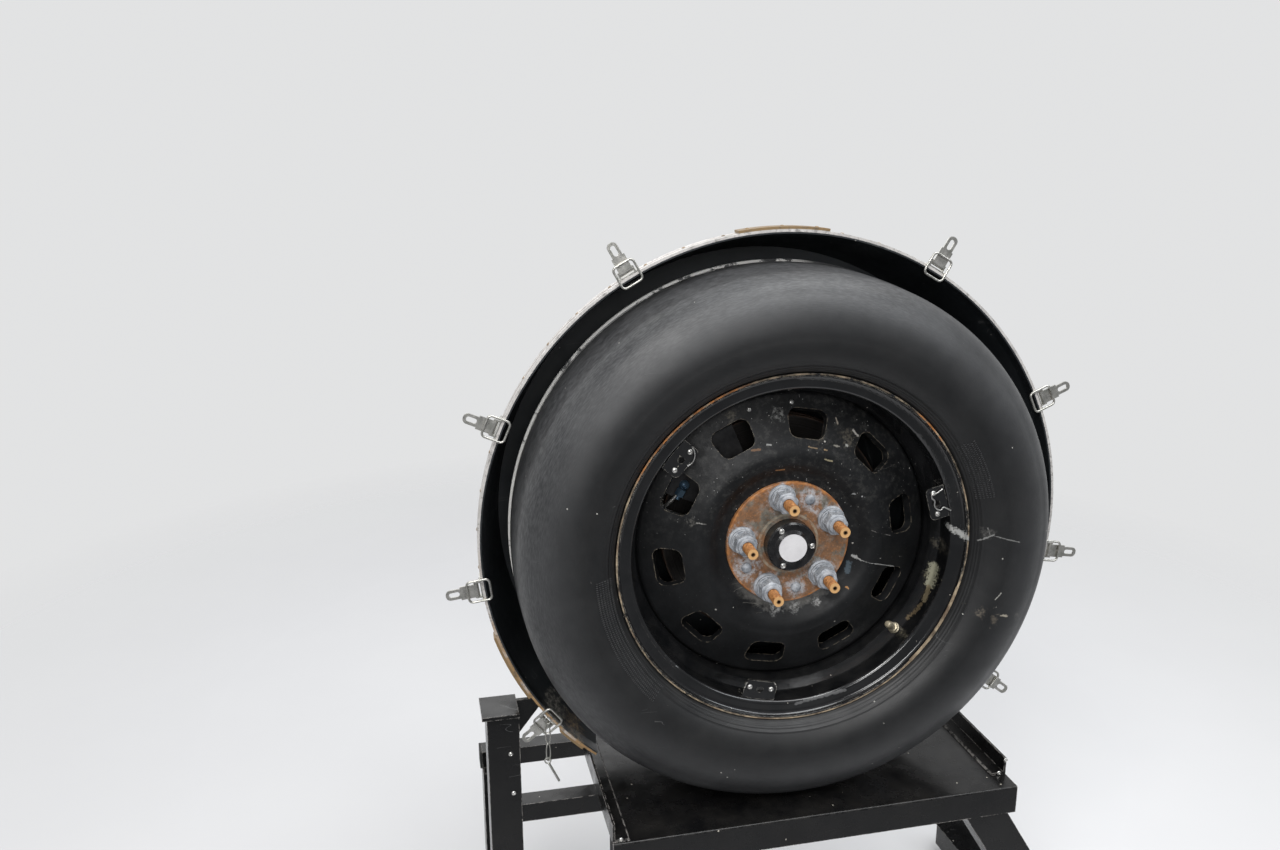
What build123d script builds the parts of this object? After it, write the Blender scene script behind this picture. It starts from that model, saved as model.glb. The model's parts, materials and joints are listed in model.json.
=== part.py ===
from build123d import *
import os
from math import atan2, cos, degrees, radians, sin, sqrt, tan

# A land speed race car's wheel station: a black steel wheel with a slick tyre on its hub and brake
# rotor, inside its round wheel tub with draw latches, on a short axle stub. The tyre stands in the
# black tray stand that carries it when the car is parked on show.
#
# Millimetres. Everything is built about the axle line: X along the car, +Y inboard, Z up, with
# y = 0 in the plane of the rim's outboard flange. At the end all of it is moved so that the origin
# is the bottom centre of the whole box. Angles run from +X towards +Z.

# Fits shared by many pieces
SEAT_GAP = 0.3
HOLE_GAP = 0.25
RUN_GAP = 0.05
CUT = 1.0

# Rim: a 16-inch barrel of rolled sheet. Drops are measured from the outboard bead seat.
RIM_WALL = 3.2
RIM_WIDTH = 165.0
FLANGE_R = 220.5
FLANGE_H = 17.5
FLANGE_DEPTH = 6.8
CURL_Y = 1.0
SEAT_WIDTH = 26.0
BACK_SEAT_WIDTH = 34.2
STEP_DROP = 9.3
WELL_DROP = 12.3
STEP_RUN = 13.2
WELL_RUN = 12.0
WELL_RISE = 16.0
HEEL_BEND = 5.2
STEP_BEND = 6.0
WELL_BEND = 9.0

# Tyre: a bias-ply slick, 676 mm over the tread
TYRE_R = 338.0
TYRE_BULGE = 22.5
TYRE_SIDE = 9.0
TYRE_TREAD = 13.0
BEAD_WIDTH = 14.0
HEEL_CUT = 1.5
# Outer wall, as (share of the height from the rim to the tread, depth behind the widest plane)
TYRE_WALL = ((0.144, 7.5), (0.381, 0.0), (0.602, 2.3), (0.797, 14.0), (0.928, 28.5), (0.979, 52.5))
# Inner wall, the same way, before the wall's own thickness
TYRE_LINING = ((0.17, 7.5), (0.381, 0.0), (0.746, 14.0))
LINING_EDGE = 60.5

# Wheel disc, pressed, with ten windows
DISC_WALL = 4.5
DISC_Y = 42.0
DISC_SET = 3.5
DISC_FLANGE = 31.5
DISC_BORE_R = 36.0
DISC_SHOULDER = 10.0
DISC_BEND = 16.0
DISC_FLANGE_BEND = 9.0
CROWN_RUN = 22.0
CROWN_H = 17.0
CROWN_BEND = 20.0
WINDOWS = 10
WINDOW_ANGLE = 9.5
WINDOW_SET = 37.0
WINDOW_H = 37.0
WINDOW_IN_W = 42.0
WINDOW_OUT_W = 54.0
WINDOW_CORNER = 11.0
WINDOW_LIP = 2.5
LIP_SINK = 2.5
LIP_DEPTH = 7.0

# Hub plate, studs, nuts and cap
PLATE_MARGIN = 17.7
PLATE_T = 6.0
PLATE_CHAMFER = 1.2
STUDS = 5
STUD_ANGLE = 28.0
STUD_PCD = 120.65
STUD_R = 6.35
STUD_TIP_Y = -16.0
STUD_DRILL_R = 2.0
STUD_DRILL_DEPTH = 9.0
NUT_AF = 25.4
NUT_H = 29.0
NUT_BASE_R = 17.0
NUT_BASE_H = 5.0
NUT_CROWN_H = 7.0
NUT_CROWN_IN = 2.0
PLATE_BOLT_ANGLES = (64.8, 208.8, 280.8)
PLATE_BOLT_R = 6.5
PLATE_BOLT_H = 5.0
CAP_R = 31.2
CAP_FACE = 16.0
CAP_EDGE = 2.0
CAP_BOSS_R = 22.0
CAP_BOSS_H = 2.0
BADGE_R = 17.6
BADGE_T = 1.5
BADGE_RIM = 1.0
CAP_SCREW_ANGLES = (0.0, 123.0, 245.0)
CAP_SCREW_R = 3.2
CAP_SCREW_H = 2.0

# Cover brackets on the outboard bead seat
BRACKET_ANGLES = (139.4, 15.3, -102.0)
BRACKET_W = 42.0
BRACKET_REACH = 24.5
BRACKET_Y = 10.0
BRACKET_T = 2.5
BRACKET_FOOT = 20.0
BRACKET_CORNER = 6.0
BRACKET_HOLE_R = 4.0
BRACKET_HOLE_SET = 11.0
RIVET_SPAN = 28.0
RIVET_SET = 9.0
RIVET_R = 3.4
RIVET_H = 2.0

# Valve
VALVE_ANGLE = -41.0
VALVE_R = 4.0
VALVE_LEN = 27.0
VALVE_COLLAR_R = 7.0
VALVE_COLLAR_H = 6.0

# Hub, brake and axle
SPINDLE_R = 25.0
SPINDLE_PROUD = 3.0
SPINDLE_CHAMFER = 2.0
HUB_R = 46.0
HUB_FLANGE_MARGIN = 15.7
HUB_FLANGE_T = 10.0
HUB_CONE = 6.0
CALIPER_CLEARANCE = 11.5
CALIPER_BRIDGE = 28.0
CALIPER_DEPTH = 72.0
CALIPER_WALL = 15.0
CALIPER_ANGLE = 136.0
CALIPER_ARC_ANGLE = 44.0
CALIPER_CORNER = 10.0
BRAKE_GAP = 5.0
ROTOR_FRONT = 100.0
ROTOR_PLATE = 9.0
ROTOR_GAP = 8.0
ROTOR_RING = 56.0
ROTOR_EYE = 6.0
VANES = 30
VANE_T = 3.0
VANE_IN = 3.0
VANE_OUT = 1.5
HAT_T = 6.0
HAT_MARGIN = 20.0
HAT_LIP = 8.0
AXLE_MARGIN = 16.0
AXLE_FLANGE_T = 12.0
BRACKET_PLATE = 6.0
BRACKET_EYE = 6.0
BRACKET_ARM_W = 64.0
BRACKET_ARM_END = 16.0
BRACKET_ARM_CORNER = 14.0
AXLE_TUBE_R = 38.0
AXLE_BORE_R = 30.0
AXLE_PLUG = 28.0
AXLE_REACH = 98.0
END_FLANGE_R = 60.0
END_FLANGE_T = 12.0
END_BOLTS = 6
END_PCD = 98.0
END_HOLE_R = 5.25

# Tub: a rolled band and a pressed back wall, open to the front and below
TUB_CLEARANCE = 37.5
BACK_CLEARANCE = 26.5
TUB_TAPER = 26.0
TUB_WALL = 2.0
TUB_FRONT = 78.0
TUB_FROM_ANGLE = -51.0
TUB_TO_ANGLE = 231.0
TUB_HOLE_R = 60.0
TUB_BEAD_IN_R = 170.0
TUB_BEAD_SET = 40.0
TUB_BEAD_SLOPE = 10.0
TUB_BEAD_DEPTH = 7.0
TUB_BEAD_BEND = 6.0
EDGE_T = 3.0
EDGE_W = 20.0
DOUBLER_T = 3.5
DOUBLER_ANGLES = ((82.0, 99.0), (198.0, 212.5), (222.0, 228.0))
COLLAR_R = 84.0
COLLAR_T = 6.0
COLLAR_NECK = 26.0
COLLAR_WALL = 7.0
COLLAR_GAP = 0.1

# Draw latches, hanging open. Each hinges on a pin in the base's ears.
LATCH_ANGLES = (218.5, 187.8, 156.7, 120.2, 59.8, 24.5, -7.9, -37.4)
LATCH_W = 26.0
LATCH_T = 1.6
LATCH_LEN = 22.0
LATCH_SET = 1.0
EAR_H = 9.0
EAR_LEN = 8.0
EAR_FOOT = 0.6
EAR_GAP = 0.4
PIN_R = 1.5
PIN_GAP = 0.15
PIN_SET = 6.5
PIN_PROUD = 2.0
KNUCKLE_R = 3.2
LEVER_T = 2.0
LEVER_W = 17.0
LEVER_LEN = 20.0
LOOP_W = 13.0
LOOP_LEN = 18.0
LOOP_LAP = 3.0
LOOP_SLOT = 6.0
LOOP_WEB = 4.0
BAIL_W = 30.0
BAIL_IN = 12.0
BAIL_OUT = 19.0
WIRE_R = 1.5
BAIL_BEND = 5.0

# Tray stand, turned a little about the wheel
STAND_YAW = 2.8
TRAY_GAP = 0.5
TRAY_TOP = 400.0
TRAY_T = 3.0
TRAY_LEFT = -236.0
TRAY_RIGHT = 304.0
TRAY_FRONT = -37.0
TRAY_DEPTH = 272.0
TRAY_FOLD = 2.5
APRON = 38.0
SIDE_H = 24.0
SIDE_W = 20.0
LEFT_SIDE_SET = 4.0
RIGHT_SIDE_SET = 30.0
TUBE = 25.0
POST_TUBE = 40.0
LEG_TUBE = 50.0
TUBE_WALL = 2.5
TUBE_SET = 4.0
RAIL_SET = 20.0
CROSSBAR_Y = 85.0
POST_INSET = 24.5
POST_DROP = 27.0
SADDLE_W = 52.0
SADDLE_T = 5.0
RUNNER_X = 449.0
RUNNER_FRONT = -75.0
RUNNER_LEN = 430.0
BASE_BAR_Y = 130.0
FRONT_LEG_X = 258.0
BACK_LEG_X = 209.0
FOOT_R = 27.0
FOOT_NECK_R = 19.0
FOOT_H = 14.0
FOOT_SET = 35.0
PLUG_T = 3.0
PLUG_DEPTH = 12.0
GUSSET_T = 5.0
GUSSET_DROP = 3.0
GUSSET_H = 50.0
GUSSET_REACH = 36.0
GUSSET_RISE = 46.2

# Places that follow from the sizes above
SEAT_R = FLANGE_R - FLANGE_H
WELL_IN_R = SEAT_R - WELL_DROP - RIM_WALL
RIM_MID = RIM_WIDTH / 2
CURL_R = FLANGE_DEPTH + RIM_WALL - CURL_Y
SEAT_END = FLANGE_DEPTH + SEAT_WIDTH
STEP_Y = SEAT_END + STEP_RUN
WELL_FRONT = STEP_Y + WELL_RUN
WELL_BACK = RIM_WIDTH - FLANGE_DEPTH - BACK_SEAT_WIDTH - WELL_RISE
DISC_EDGE_Y = WELL_FRONT + DISC_SET
PLATE_R = STUD_PCD / 2 + PLATE_MARGIN
DISC_FLAT_R = PLATE_R + DISC_SHOULDER
CROWN_R = DISC_FLAT_R + CROWN_RUN
CROWN_Y = DISC_Y - CROWN_H
DISC_SLOPE = degrees(atan2(DISC_EDGE_Y - CROWN_Y, WELL_IN_R - CROWN_R))
WINDOW_R = WELL_IN_R - WINDOW_SET
WINDOW_Y = DISC_EDGE_Y - WINDOW_SET * tan(radians(DISC_SLOPE))
PLATE_Y = DISC_Y - PLATE_T
DISC_BACK = DISC_Y + DISC_WALL
HUB_FLANGE_R = STUD_PCD / 2 + HUB_FLANGE_MARGIN
HUB_FLANGE_BACK = DISC_BACK + HUB_FLANGE_T
CALIPER_R = WELL_IN_R - CALIPER_CLEARANCE
CALIPER_IN_R = CALIPER_R - CALIPER_DEPTH
ROTOR_R = CALIPER_R - CALIPER_BRIDGE
ROTOR_IN_R = ROTOR_R - ROTOR_RING
ROTOR_BACK = ROTOR_FRONT + 2 * ROTOR_PLATE + ROTOR_GAP
CALIPER_FRONT = ROTOR_FRONT - BRAKE_GAP - CALIPER_WALL
CALIPER_BACK = ROTOR_BACK + BRAKE_GAP + CALIPER_WALL
AXLE_FLANGE_R = HUB_R + AXLE_MARGIN
AXLE_FLANGE_Y = CALIPER_BACK + BRACKET_PLATE
AXLE_SHOULDER = AXLE_FLANGE_Y + AXLE_FLANGE_T
TUB_R = TYRE_R + TUB_CLEARANCE
TUB_BACK_R = TUB_R - TUB_TAPER
TUB_BACK = RIM_WIDTH + TYRE_BULGE + BACK_CLEARANCE
AXLE_END = TUB_BACK + AXLE_REACH
END_FLANGE_Y = AXLE_END - END_FLANGE_T
EDGE_R = TUB_R + EDGE_T
PIN_X = EDGE_R + PIN_SET
PIN_Y = TUB_FRONT + KNUCKLE_R
FLOOR_Z = -TYRE_R - TRAY_GAP
BASE_Z = FLOOR_Z - TRAY_TOP
TRAY_BACK = TRAY_FRONT + TRAY_DEPTH
BAR_Z = FLOOR_Z - TRAY_T - TUBE / 2
LEG_TOP = BAR_Z - TUBE / 2
FRONT_BAR_Y = TRAY_FRONT + TRAY_T + TUBE / 2
BACK_BAR_Y = TRAY_BACK - TRAY_T - TUBE / 2
FRONT_LEG_Y = TRAY_FRONT + TRAY_T + LEG_TUBE / 2
BACK_LEG_Y = TRAY_BACK - TRAY_T - LEG_TUBE / 2
BACK_POST_Y = TRAY_BACK - TRAY_T - POST_TUBE / 2
RUNNER_Z = BASE_Z + FOOT_H + LEG_TUBE / 2
RUNNER_TOP = RUNNER_Z + LEG_TUBE / 2
RUNNER_BACK = RUNNER_FRONT + RUNNER_LEN
POST_X = -(EDGE_R - POST_INSET)
POST_FACE = POST_X + POST_TUBE / 2
POST_TOP = -sqrt(EDGE_R**2 - POST_FACE**2) - POST_DROP

NODES = {}


def node(name, *solids):
    """Keep the solids as one named sub-part."""
    NODES[name] = Compound(children=list(solids)) if len(solids) > 1 else solids[0]


def turned(angle, shape):
    """Turn a shape drawn on +X about the axle to the given angle."""
    return Rot(0, -angle, 0) * shape


def turned_each(angles, shape):
    return [turned(angle, shape) for angle in angles]


def around(count, start=0.0):
    """The angles of a full circle of equal steps."""
    return [start + 360 / count * i for i in range(count)]


def closed(points):
    return make_face(Polyline(*points, close=True))


def spun(face):
    """Revolve a face drawn as (radius, y) about the axle."""
    return revolve(face, axis=Axis.Y)


def ring(r_in, r_out, y_from, y_to):
    """A plain ring about the axle."""
    return spun(closed(((r_in, y_from), (r_out, y_from), (r_out, y_to), (r_in, y_to))))


def swept(face, angle_from, angle_to):
    """Revolve a face drawn as (radius, y) from one angle to another."""
    return turned(angle_to, revolve(face, axis=Axis.Y, revolution_arc=angle_to - angle_from))


def sector(r_in, r_out, y_from, y_to, angle_from, angle_to):
    """A part of a ring between two angles."""
    return swept(closed(((r_in, y_from), (r_out, y_from), (r_out, y_to), (r_in, y_to))), angle_from, angle_to)


def rod(radius, y_from, y_to, x=0.0):
    """A round bar along Y at the given radius on +X."""
    return Pos(x, (y_from + y_to) / 2, 0) * Rot(90, 0, 0) * Cylinder(radius, y_to - y_from)


def block(x0, x1, y0, y1, z0, z1):
    """A box between two corners."""
    return Pos((x0 + x1) / 2, (y0 + y1) / 2, (z0 + z1) / 2) * Box(x1 - x0, y1 - y0, z1 - z0)


def across(half_width, x0, x1, y0, y1):
    """A box on +X, centred on the turning plane."""
    return block(x0, x1, y0, y1, -half_width, half_width)


def along_y(face, y_from, y_to):
    """Extrude a face of the XZ plane from one y to another."""
    return Pos(0, y_to, 0) * extrude(face, amount=y_to - y_from)


def bent_sheet(points, radii, wall, side):
    """A bent sheet's section: a line with round corners, thickened to one side."""
    line = FilletPolyline(*points, radius=radii)
    return make_face(offset(line, amount=wall, side=side))


def stud_angles():
    return around(STUDS, STUD_ANGLE)


def stud_holes(y_from, y_to):
    return turned_each(stud_angles(), rod(STUD_R + HOLE_GAP, y_from - CUT, y_to + CUT, STUD_PCD / 2))


def rim_barrel():
    """The rolled barrel: flange, bead seat, step, drop well, and a seat and flange inboard."""
    lip, seat = FLANGE_R - RIM_WALL, SEAT_R - RIM_WALL
    far = RIM_WIDTH - FLANGE_DEPTH
    points = (
        (lip, 0),
        (lip, FLANGE_DEPTH),
        (seat, FLANGE_DEPTH),
        (seat, SEAT_END),
        (seat - STEP_DROP, STEP_Y),
        (WELL_IN_R, WELL_FRONT),
        (WELL_IN_R, WELL_BACK),
        (seat, WELL_BACK + WELL_RISE),
        (seat, far),
        (lip, far),
        (lip, RIM_WIDTH),
    )
    curl = CURL_R - RIM_WALL
    radii = (curl, HEEL_BEND, STEP_BEND, STEP_BEND, WELL_BEND, WELL_BEND, WELL_BEND, HEEL_BEND, curl)
    return spun(bent_sheet(points, radii, RIM_WALL, Side.RIGHT))


def tyre():
    """A closed casing: the outer wall in arcs, the inner wall in short straights."""
    centre_r, curl = FLANGE_R - CURL_R, CURL_R + SEAT_GAP
    height = TYRE_R - centre_r - curl * cos(radians(25))
    side = -TYRE_BULGE

    def on_curl(angle):
        return centre_r + curl * cos(radians(angle)), CURL_Y + curl * sin(radians(angle))

    def on_wall(share, depth, inward=0.0):
        return TYRE_R - height * (1 - share), side + depth + inward

    def mirrored(points):
        return [(r, RIM_WIDTH - y) for r, y in points]

    wall = [on_curl(25), *[on_wall(*point) for point in TYRE_WALL]]
    outer = [ThreePointArc(wall[-1], (TYRE_R, RIM_MID), mirrored(wall)[-1])]
    for points in (wall, mirrored(wall)):
        for i in range(0, len(points) - 1, 2):
            outer.append(ThreePointArc(*points[i : i + 3]))
    bead, heel = SEAT_R + SEAT_GAP, FLANGE_DEPTH + RIM_WALL + SEAT_GAP
    inner = [
        *[on_curl(angle) for angle in (25, 45, 65, 90)],
        (bead + HEEL_CUT, heel),
        (bead, heel + HEEL_CUT),
        (bead, heel + BEAD_WIDTH),
        (FLANGE_R, heel + BEAD_WIDTH - TYRE_SIDE / 2),
        *[on_wall(share, depth, TYRE_SIDE) for share, depth in TYRE_LINING],
        (TYRE_R - TYRE_TREAD, side + LINING_EDGE),
    ]
    return spun(make_face([*outer, Polyline(*inner, *mirrored(reversed(inner)))]))


def window_block(grow, depth_from, depth_to):
    """A window's rounded trapezoid, drawn on +X and laid square on the disc's slope."""
    half, half_in, half_out = WINDOW_H / 2 + grow, WINDOW_IN_W / 2 + grow, WINDOW_OUT_W / 2 + grow
    face = closed(((-half, -half_in), (half, -half_out), (half, half_out), (-half, half_in)))
    face = Plane.XZ * fillet(face.vertices(), WINDOW_CORNER + grow)
    return Pos(WINDOW_R, WINDOW_Y, 0) * Rot(0, 0, DISC_SLOPE) * along_y(face, depth_from, depth_to)


def wheel_disc():
    """The pressed disc: flat centre, raised crown, windows on the slope, and a flange in the drop well."""
    line = (
        (DISC_BORE_R, DISC_Y),
        (DISC_FLAT_R, DISC_Y),
        (CROWN_R, CROWN_Y),
        (WELL_IN_R, DISC_EDGE_Y),
        (WELL_IN_R, DISC_EDGE_Y + DISC_FLANGE),
    )
    disc = spun(bent_sheet(line, (DISC_BEND, CROWN_BEND, DISC_FLANGE_BEND), DISC_WALL, Side.LEFT))
    lip = window_block(WINDOW_LIP, LIP_SINK, DISC_WALL + LIP_DEPTH)
    hole = window_block(0, -CUT, DISC_WALL + LIP_DEPTH + CUT)
    angles = around(WINDOWS, WINDOW_ANGLE)
    for pressed in turned_each(angles, lip):
        disc += pressed
    for window in turned_each(angles, hole):
        disc -= window
    return disc - stud_holes(DISC_Y, DISC_BACK)


def hub_plate():
    """The steel plate under the nuts, its outer edge chamfered."""
    plate = ring(CAP_R + SEAT_GAP, PLATE_R, PLATE_Y, DISC_Y)
    rims = plate.edges().filter_by(GeomType.CIRCLE).sort_by(SortBy.RADIUS)[-2:]
    plate = chamfer(rims.sort_by(Axis.Y)[0], PLATE_CHAMFER)
    return plate - stud_holes(PLATE_Y, DISC_Y)


def lug_nut():
    """A hex nut with a round base and a coned crown, on +X at the stud circle."""
    top, base_top, crown_r = PLATE_Y - NUT_H, PLATE_Y - NUT_BASE_H, NUT_AF / 2 - NUT_CROWN_IN
    hexagon = RegularPolygon(radius=NUT_AF / 2, side_count=6, major_radius=False)
    body = rod(NUT_BASE_R, base_top, PLATE_Y) + along_y(Plane.XZ * hexagon, top, base_top)
    crown = ((0, PLATE_Y), (NUT_BASE_R, PLATE_Y), (NUT_BASE_R, top + NUT_CROWN_H), (crown_r, top), (0, top))
    nut = (body & spun(closed(crown))) - rod(STUD_R + HOLE_GAP, top - CUT, PLATE_Y + CUT)
    return Pos(STUD_PCD / 2, 0, 0) * nut


def stud():
    """A stud from the hub flange to its drilled tip."""
    shank = rod(STUD_R, STUD_TIP_Y, HUB_FLANGE_BACK, STUD_PCD / 2)
    return shank - rod(STUD_DRILL_R, STUD_TIP_Y - CUT, STUD_TIP_Y + STUD_DRILL_DEPTH, STUD_PCD / 2)


def centre_cap():
    """The stepped cap, seated through the plate's bore on the hub's nose."""
    face = PLATE_Y - CAP_FACE
    boss = face - CAP_BOSS_H
    line = (
        (0, DISC_Y),
        (CAP_R, DISC_Y),
        (CAP_R, face + CAP_EDGE),
        (CAP_R - CAP_EDGE, face),
        (CAP_BOSS_R, face),
        (BADGE_R + BADGE_RIM, boss),
        (0, boss),
    )
    return spun(closed(line))


def cap_badge():
    boss = PLATE_Y - CAP_FACE - CAP_BOSS_H
    return rod(BADGE_R, boss - BADGE_T, boss)


def cap_screw():
    """A screw head midway on the cap's flat ring."""
    face = PLATE_Y - CAP_FACE
    return rod(CAP_SCREW_R, face - CAP_SCREW_H, face, (CAP_R - CAP_EDGE + CAP_BOSS_R) / 2)


def plate_bolt():
    return rod(PLATE_BOLT_R, PLATE_Y - PLATE_BOLT_H, PLATE_Y, STUD_PCD / 2)


def bracket_seat():
    """The radius that a cover bracket's foot lies against."""
    return SEAT_R - RIM_WALL - SEAT_GAP


def cover_bracket():
    """An L bracket on the bead seat: a foot along the barrel and a drilled tab that reaches in."""
    seat, half = bracket_seat(), BRACKET_W / 2
    tab = across(half, seat - BRACKET_REACH, seat - CUT, BRACKET_Y, BRACKET_Y + BRACKET_T)
    tab = fillet(tab.edges().filter_by(Axis.Y).group_by(Axis.X)[0], BRACKET_CORNER)
    foot = across(half, seat - BRACKET_REACH / 2, seat + BRACKET_T, BRACKET_Y, BRACKET_Y + BRACKET_FOOT)
    foot &= ring(seat - BRACKET_T, seat, BRACKET_Y, BRACKET_Y + BRACKET_FOOT)
    hole_x = seat - BRACKET_REACH + BRACKET_HOLE_SET
    return tab + foot - rod(BRACKET_HOLE_R, BRACKET_Y - CUT, BRACKET_Y + BRACKET_T + CUT, hole_x)


def bracket_rivets():
    head = rod(RIVET_R, BRACKET_Y - RIVET_H, BRACKET_Y, bracket_seat() - BRACKET_REACH + RIVET_SET)
    return [Pos(0, 0, side * RIVET_SPAN / 2) * head for side in (-1, 1)]


def valve():
    """The valve stem, square to the sloping step between the bead seat and the drop well."""
    slope = degrees(atan2(STEP_DROP, STEP_RUN))
    middle = (SEAT_R - STEP_DROP / 2 - RIM_WALL, (SEAT_END + STEP_Y) / 2)
    stem = rod(VALVE_R, -VALVE_LEN, -SEAT_GAP) + rod(VALVE_COLLAR_R, -VALVE_COLLAR_H, -SEAT_GAP)
    return turned(VALVE_ANGLE, Pos(middle[0], middle[1], 0) * Rot(0, 0, slope - 90) * stem)


def hub():
    """The hub: pilot nose, stud flange, barrel and the rotor's flange."""
    nose, bore = DISC_BORE_R - SEAT_GAP, SPINDLE_R + RUN_GAP
    mount = ROTOR_FRONT - HAT_T
    hat_r = HUB_R + HAT_MARGIN
    line = (
        (bore, DISC_Y),
        (nose, DISC_Y),
        (nose, DISC_BACK),
        (HUB_FLANGE_R, DISC_BACK),
        (HUB_FLANGE_R, HUB_FLANGE_BACK),
        (HUB_R, HUB_FLANGE_BACK + HUB_CONE),
        (HUB_R, mount - HAT_LIP),
        (hat_r, mount - HAT_T),
        (hat_r, mount),
        (HUB_R, mount),
        (HUB_R, CALIPER_BACK),
        (bore, CALIPER_BACK),
    )
    return spun(closed(line)) - stud_holes(DISC_BACK, HUB_FLANGE_BACK)


def brake_rotor():
    """A vented rotor: two friction rings joined by radial vanes, on a flat hat."""
    front, back = ROTOR_FRONT + ROTOR_PLATE, ROTOR_BACK - ROTOR_PLATE
    rotor = ring(HUB_R + SEAT_GAP, ROTOR_IN_R + ROTOR_EYE, ROTOR_FRONT - HAT_T, ROTOR_FRONT)
    rotor += ring(ROTOR_IN_R, ROTOR_R, ROTOR_FRONT, front)
    rotor += ring(ROTOR_IN_R, ROTOR_R, back, ROTOR_BACK)
    vane = across(VANE_T / 2, ROTOR_IN_R + VANE_IN, ROTOR_R - VANE_OUT, front, back)
    rotor += turned_each(around(VANES), vane)
    return rotor


def brake_caliper():
    """A fixed caliper that straddles the rotor, with rounded ends."""
    half = CALIPER_ARC_ANGLE / 2
    body = sector(CALIPER_IN_R, CALIPER_R, CALIPER_FRONT, CALIPER_BACK, -half, half)
    body = fillet(body.edges().filter_by(Axis.Y), CALIPER_CORNER)
    slot = ring(SPINDLE_R, ROTOR_R + BRAKE_GAP, ROTOR_FRONT - BRAKE_GAP, ROTOR_BACK + BRAKE_GAP)
    return turned(CALIPER_ANGLE, body - slot)


def caliper_bracket():
    """A ring on the axle's flange with an arm to the back of the caliper."""
    y0, y1 = CALIPER_BACK, AXLE_FLANGE_Y
    arm = across(BRACKET_ARM_W / 2, HUB_R + BRACKET_EYE + CUT, CALIPER_R - BRACKET_ARM_END, y0, y1)
    arm = fillet(arm.edges().filter_by(Axis.Y).group_by(Axis.X)[-1], BRACKET_ARM_CORNER)
    return turned(CALIPER_ANGLE, ring(HUB_R + BRACKET_EYE, AXLE_FLANGE_R, y0, y1) + arm)


def axle_stub():
    """The spindle and the flange that the caliper bracket and the axle tube sit on."""
    end = DISC_Y + SPINDLE_PROUD
    line = (
        (0, end),
        (SPINDLE_R - SPINDLE_CHAMFER, end),
        (SPINDLE_R, end + SPINDLE_CHAMFER),
        (SPINDLE_R, AXLE_FLANGE_Y),
        (AXLE_FLANGE_R, AXLE_FLANGE_Y),
        (AXLE_FLANGE_R, AXLE_SHOULDER),
        (0, AXLE_SHOULDER),
    )
    return spun(closed(line))


def axle_tube():
    """The tube to the car's side, with a solid end at the flange and a bore behind it."""
    tube = rod(AXLE_TUBE_R, AXLE_SHOULDER, END_FLANGE_Y)
    return tube - rod(AXLE_BORE_R, AXLE_SHOULDER + AXLE_PLUG, END_FLANGE_Y + CUT)


def axle_end_flange():
    """The flange that bolts the axle tube to the car."""
    flange = ring(AXLE_BORE_R, END_FLANGE_R, END_FLANGE_Y, AXLE_END)
    hole = rod(END_HOLE_R, END_FLANGE_Y - CUT, AXLE_END + CUT, END_PCD / 2)
    return flange - turned_each(around(END_BOLTS), hole)


def tub_band():
    """The rolled skin over the tyre: straight under the edge strip, then tapered to the back wall."""
    skin = ((TUB_R, TUB_FRONT), (TUB_R, TUB_FRONT + EDGE_W), (TUB_BACK_R, TUB_BACK - TUB_WALL))
    lining = [(r - TUB_WALL, y) for r, y in reversed(skin)]
    return swept(closed((*skin, *lining)), TUB_FROM_ANGLE, TUB_TO_ANGLE)


def tub_back():
    """The inboard wall, with one pressed bead, cut straight below."""
    y, bead_out = TUB_BACK, TUB_BACK_R - TUB_BEAD_SET
    line = (
        (TUB_HOLE_R, y),
        (TUB_BEAD_IN_R, y),
        (TUB_BEAD_IN_R + TUB_BEAD_SLOPE, y - TUB_BEAD_DEPTH),
        (bead_out - TUB_BEAD_SLOPE, y - TUB_BEAD_DEPTH),
        (bead_out, y),
        (TUB_BACK_R, y),
    )
    wall = spun(bent_sheet(line, TUB_BEAD_BEND, TUB_WALL, Side.RIGHT))
    low, wide = TUB_BACK_R * sin(radians(TUB_FROM_ANGLE)), TUB_BACK_R + CUT
    return wall - block(-wide, wide, y - BACK_CLEARANCE, y + CUT, -wide, low)


def tub_collar():
    """The flanged collar that holds the tub on the axle tube."""
    bore = AXLE_TUBE_R + COLLAR_GAP
    flange = ring(bore, COLLAR_R, TUB_BACK, TUB_BACK + COLLAR_T)
    return flange + ring(bore, AXLE_TUBE_R + COLLAR_WALL, TUB_BACK, TUB_BACK + COLLAR_NECK)


def edge_part(r_in, thickness, angle_from, angle_to):
    """A strip along the tub's open edge."""
    return sector(r_in, r_in + thickness, TUB_FRONT, TUB_FRONT + EDGE_W, angle_from, angle_to)


def edge_room():
    """The tub's edge and doublers, grown by the seat gap: what the gusset is cut to."""
    room = ring(0, EDGE_R + SEAT_GAP, 0, TUB_BACK)
    turn = degrees(SEAT_GAP / EDGE_R)
    for angle_from, angle_to in DOUBLER_ANGLES:
        room += edge_part(EDGE_R, DOUBLER_T + SEAT_GAP, angle_from - turn, angle_to + turn)
    return room


def latch_base():
    """A plate with two ears and the hinge pin, on +X outside the tub's edge."""
    y0 = TUB_FRONT + LATCH_SET
    base = across(LATCH_W / 2, EDGE_R, EDGE_R + LATCH_T, y0, y0 + LATCH_LEN)
    base &= ring(EDGE_R, EDGE_R + LATCH_T, TUB_FRONT, y0 + LATCH_LEN)
    ear = across(LATCH_T / 2, EDGE_R + EAR_FOOT, EDGE_R + EAR_H, y0, y0 + EAR_LEN)
    for side in (-1, 1):
        base += Pos(0, 0, side * (LEVER_W / 2 + EAR_GAP + LATCH_T / 2)) * ear
    return base + Pos(PIN_X, PIN_Y, 0) * Cylinder(PIN_R, LEVER_W + 2 * PIN_PROUD)


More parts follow.
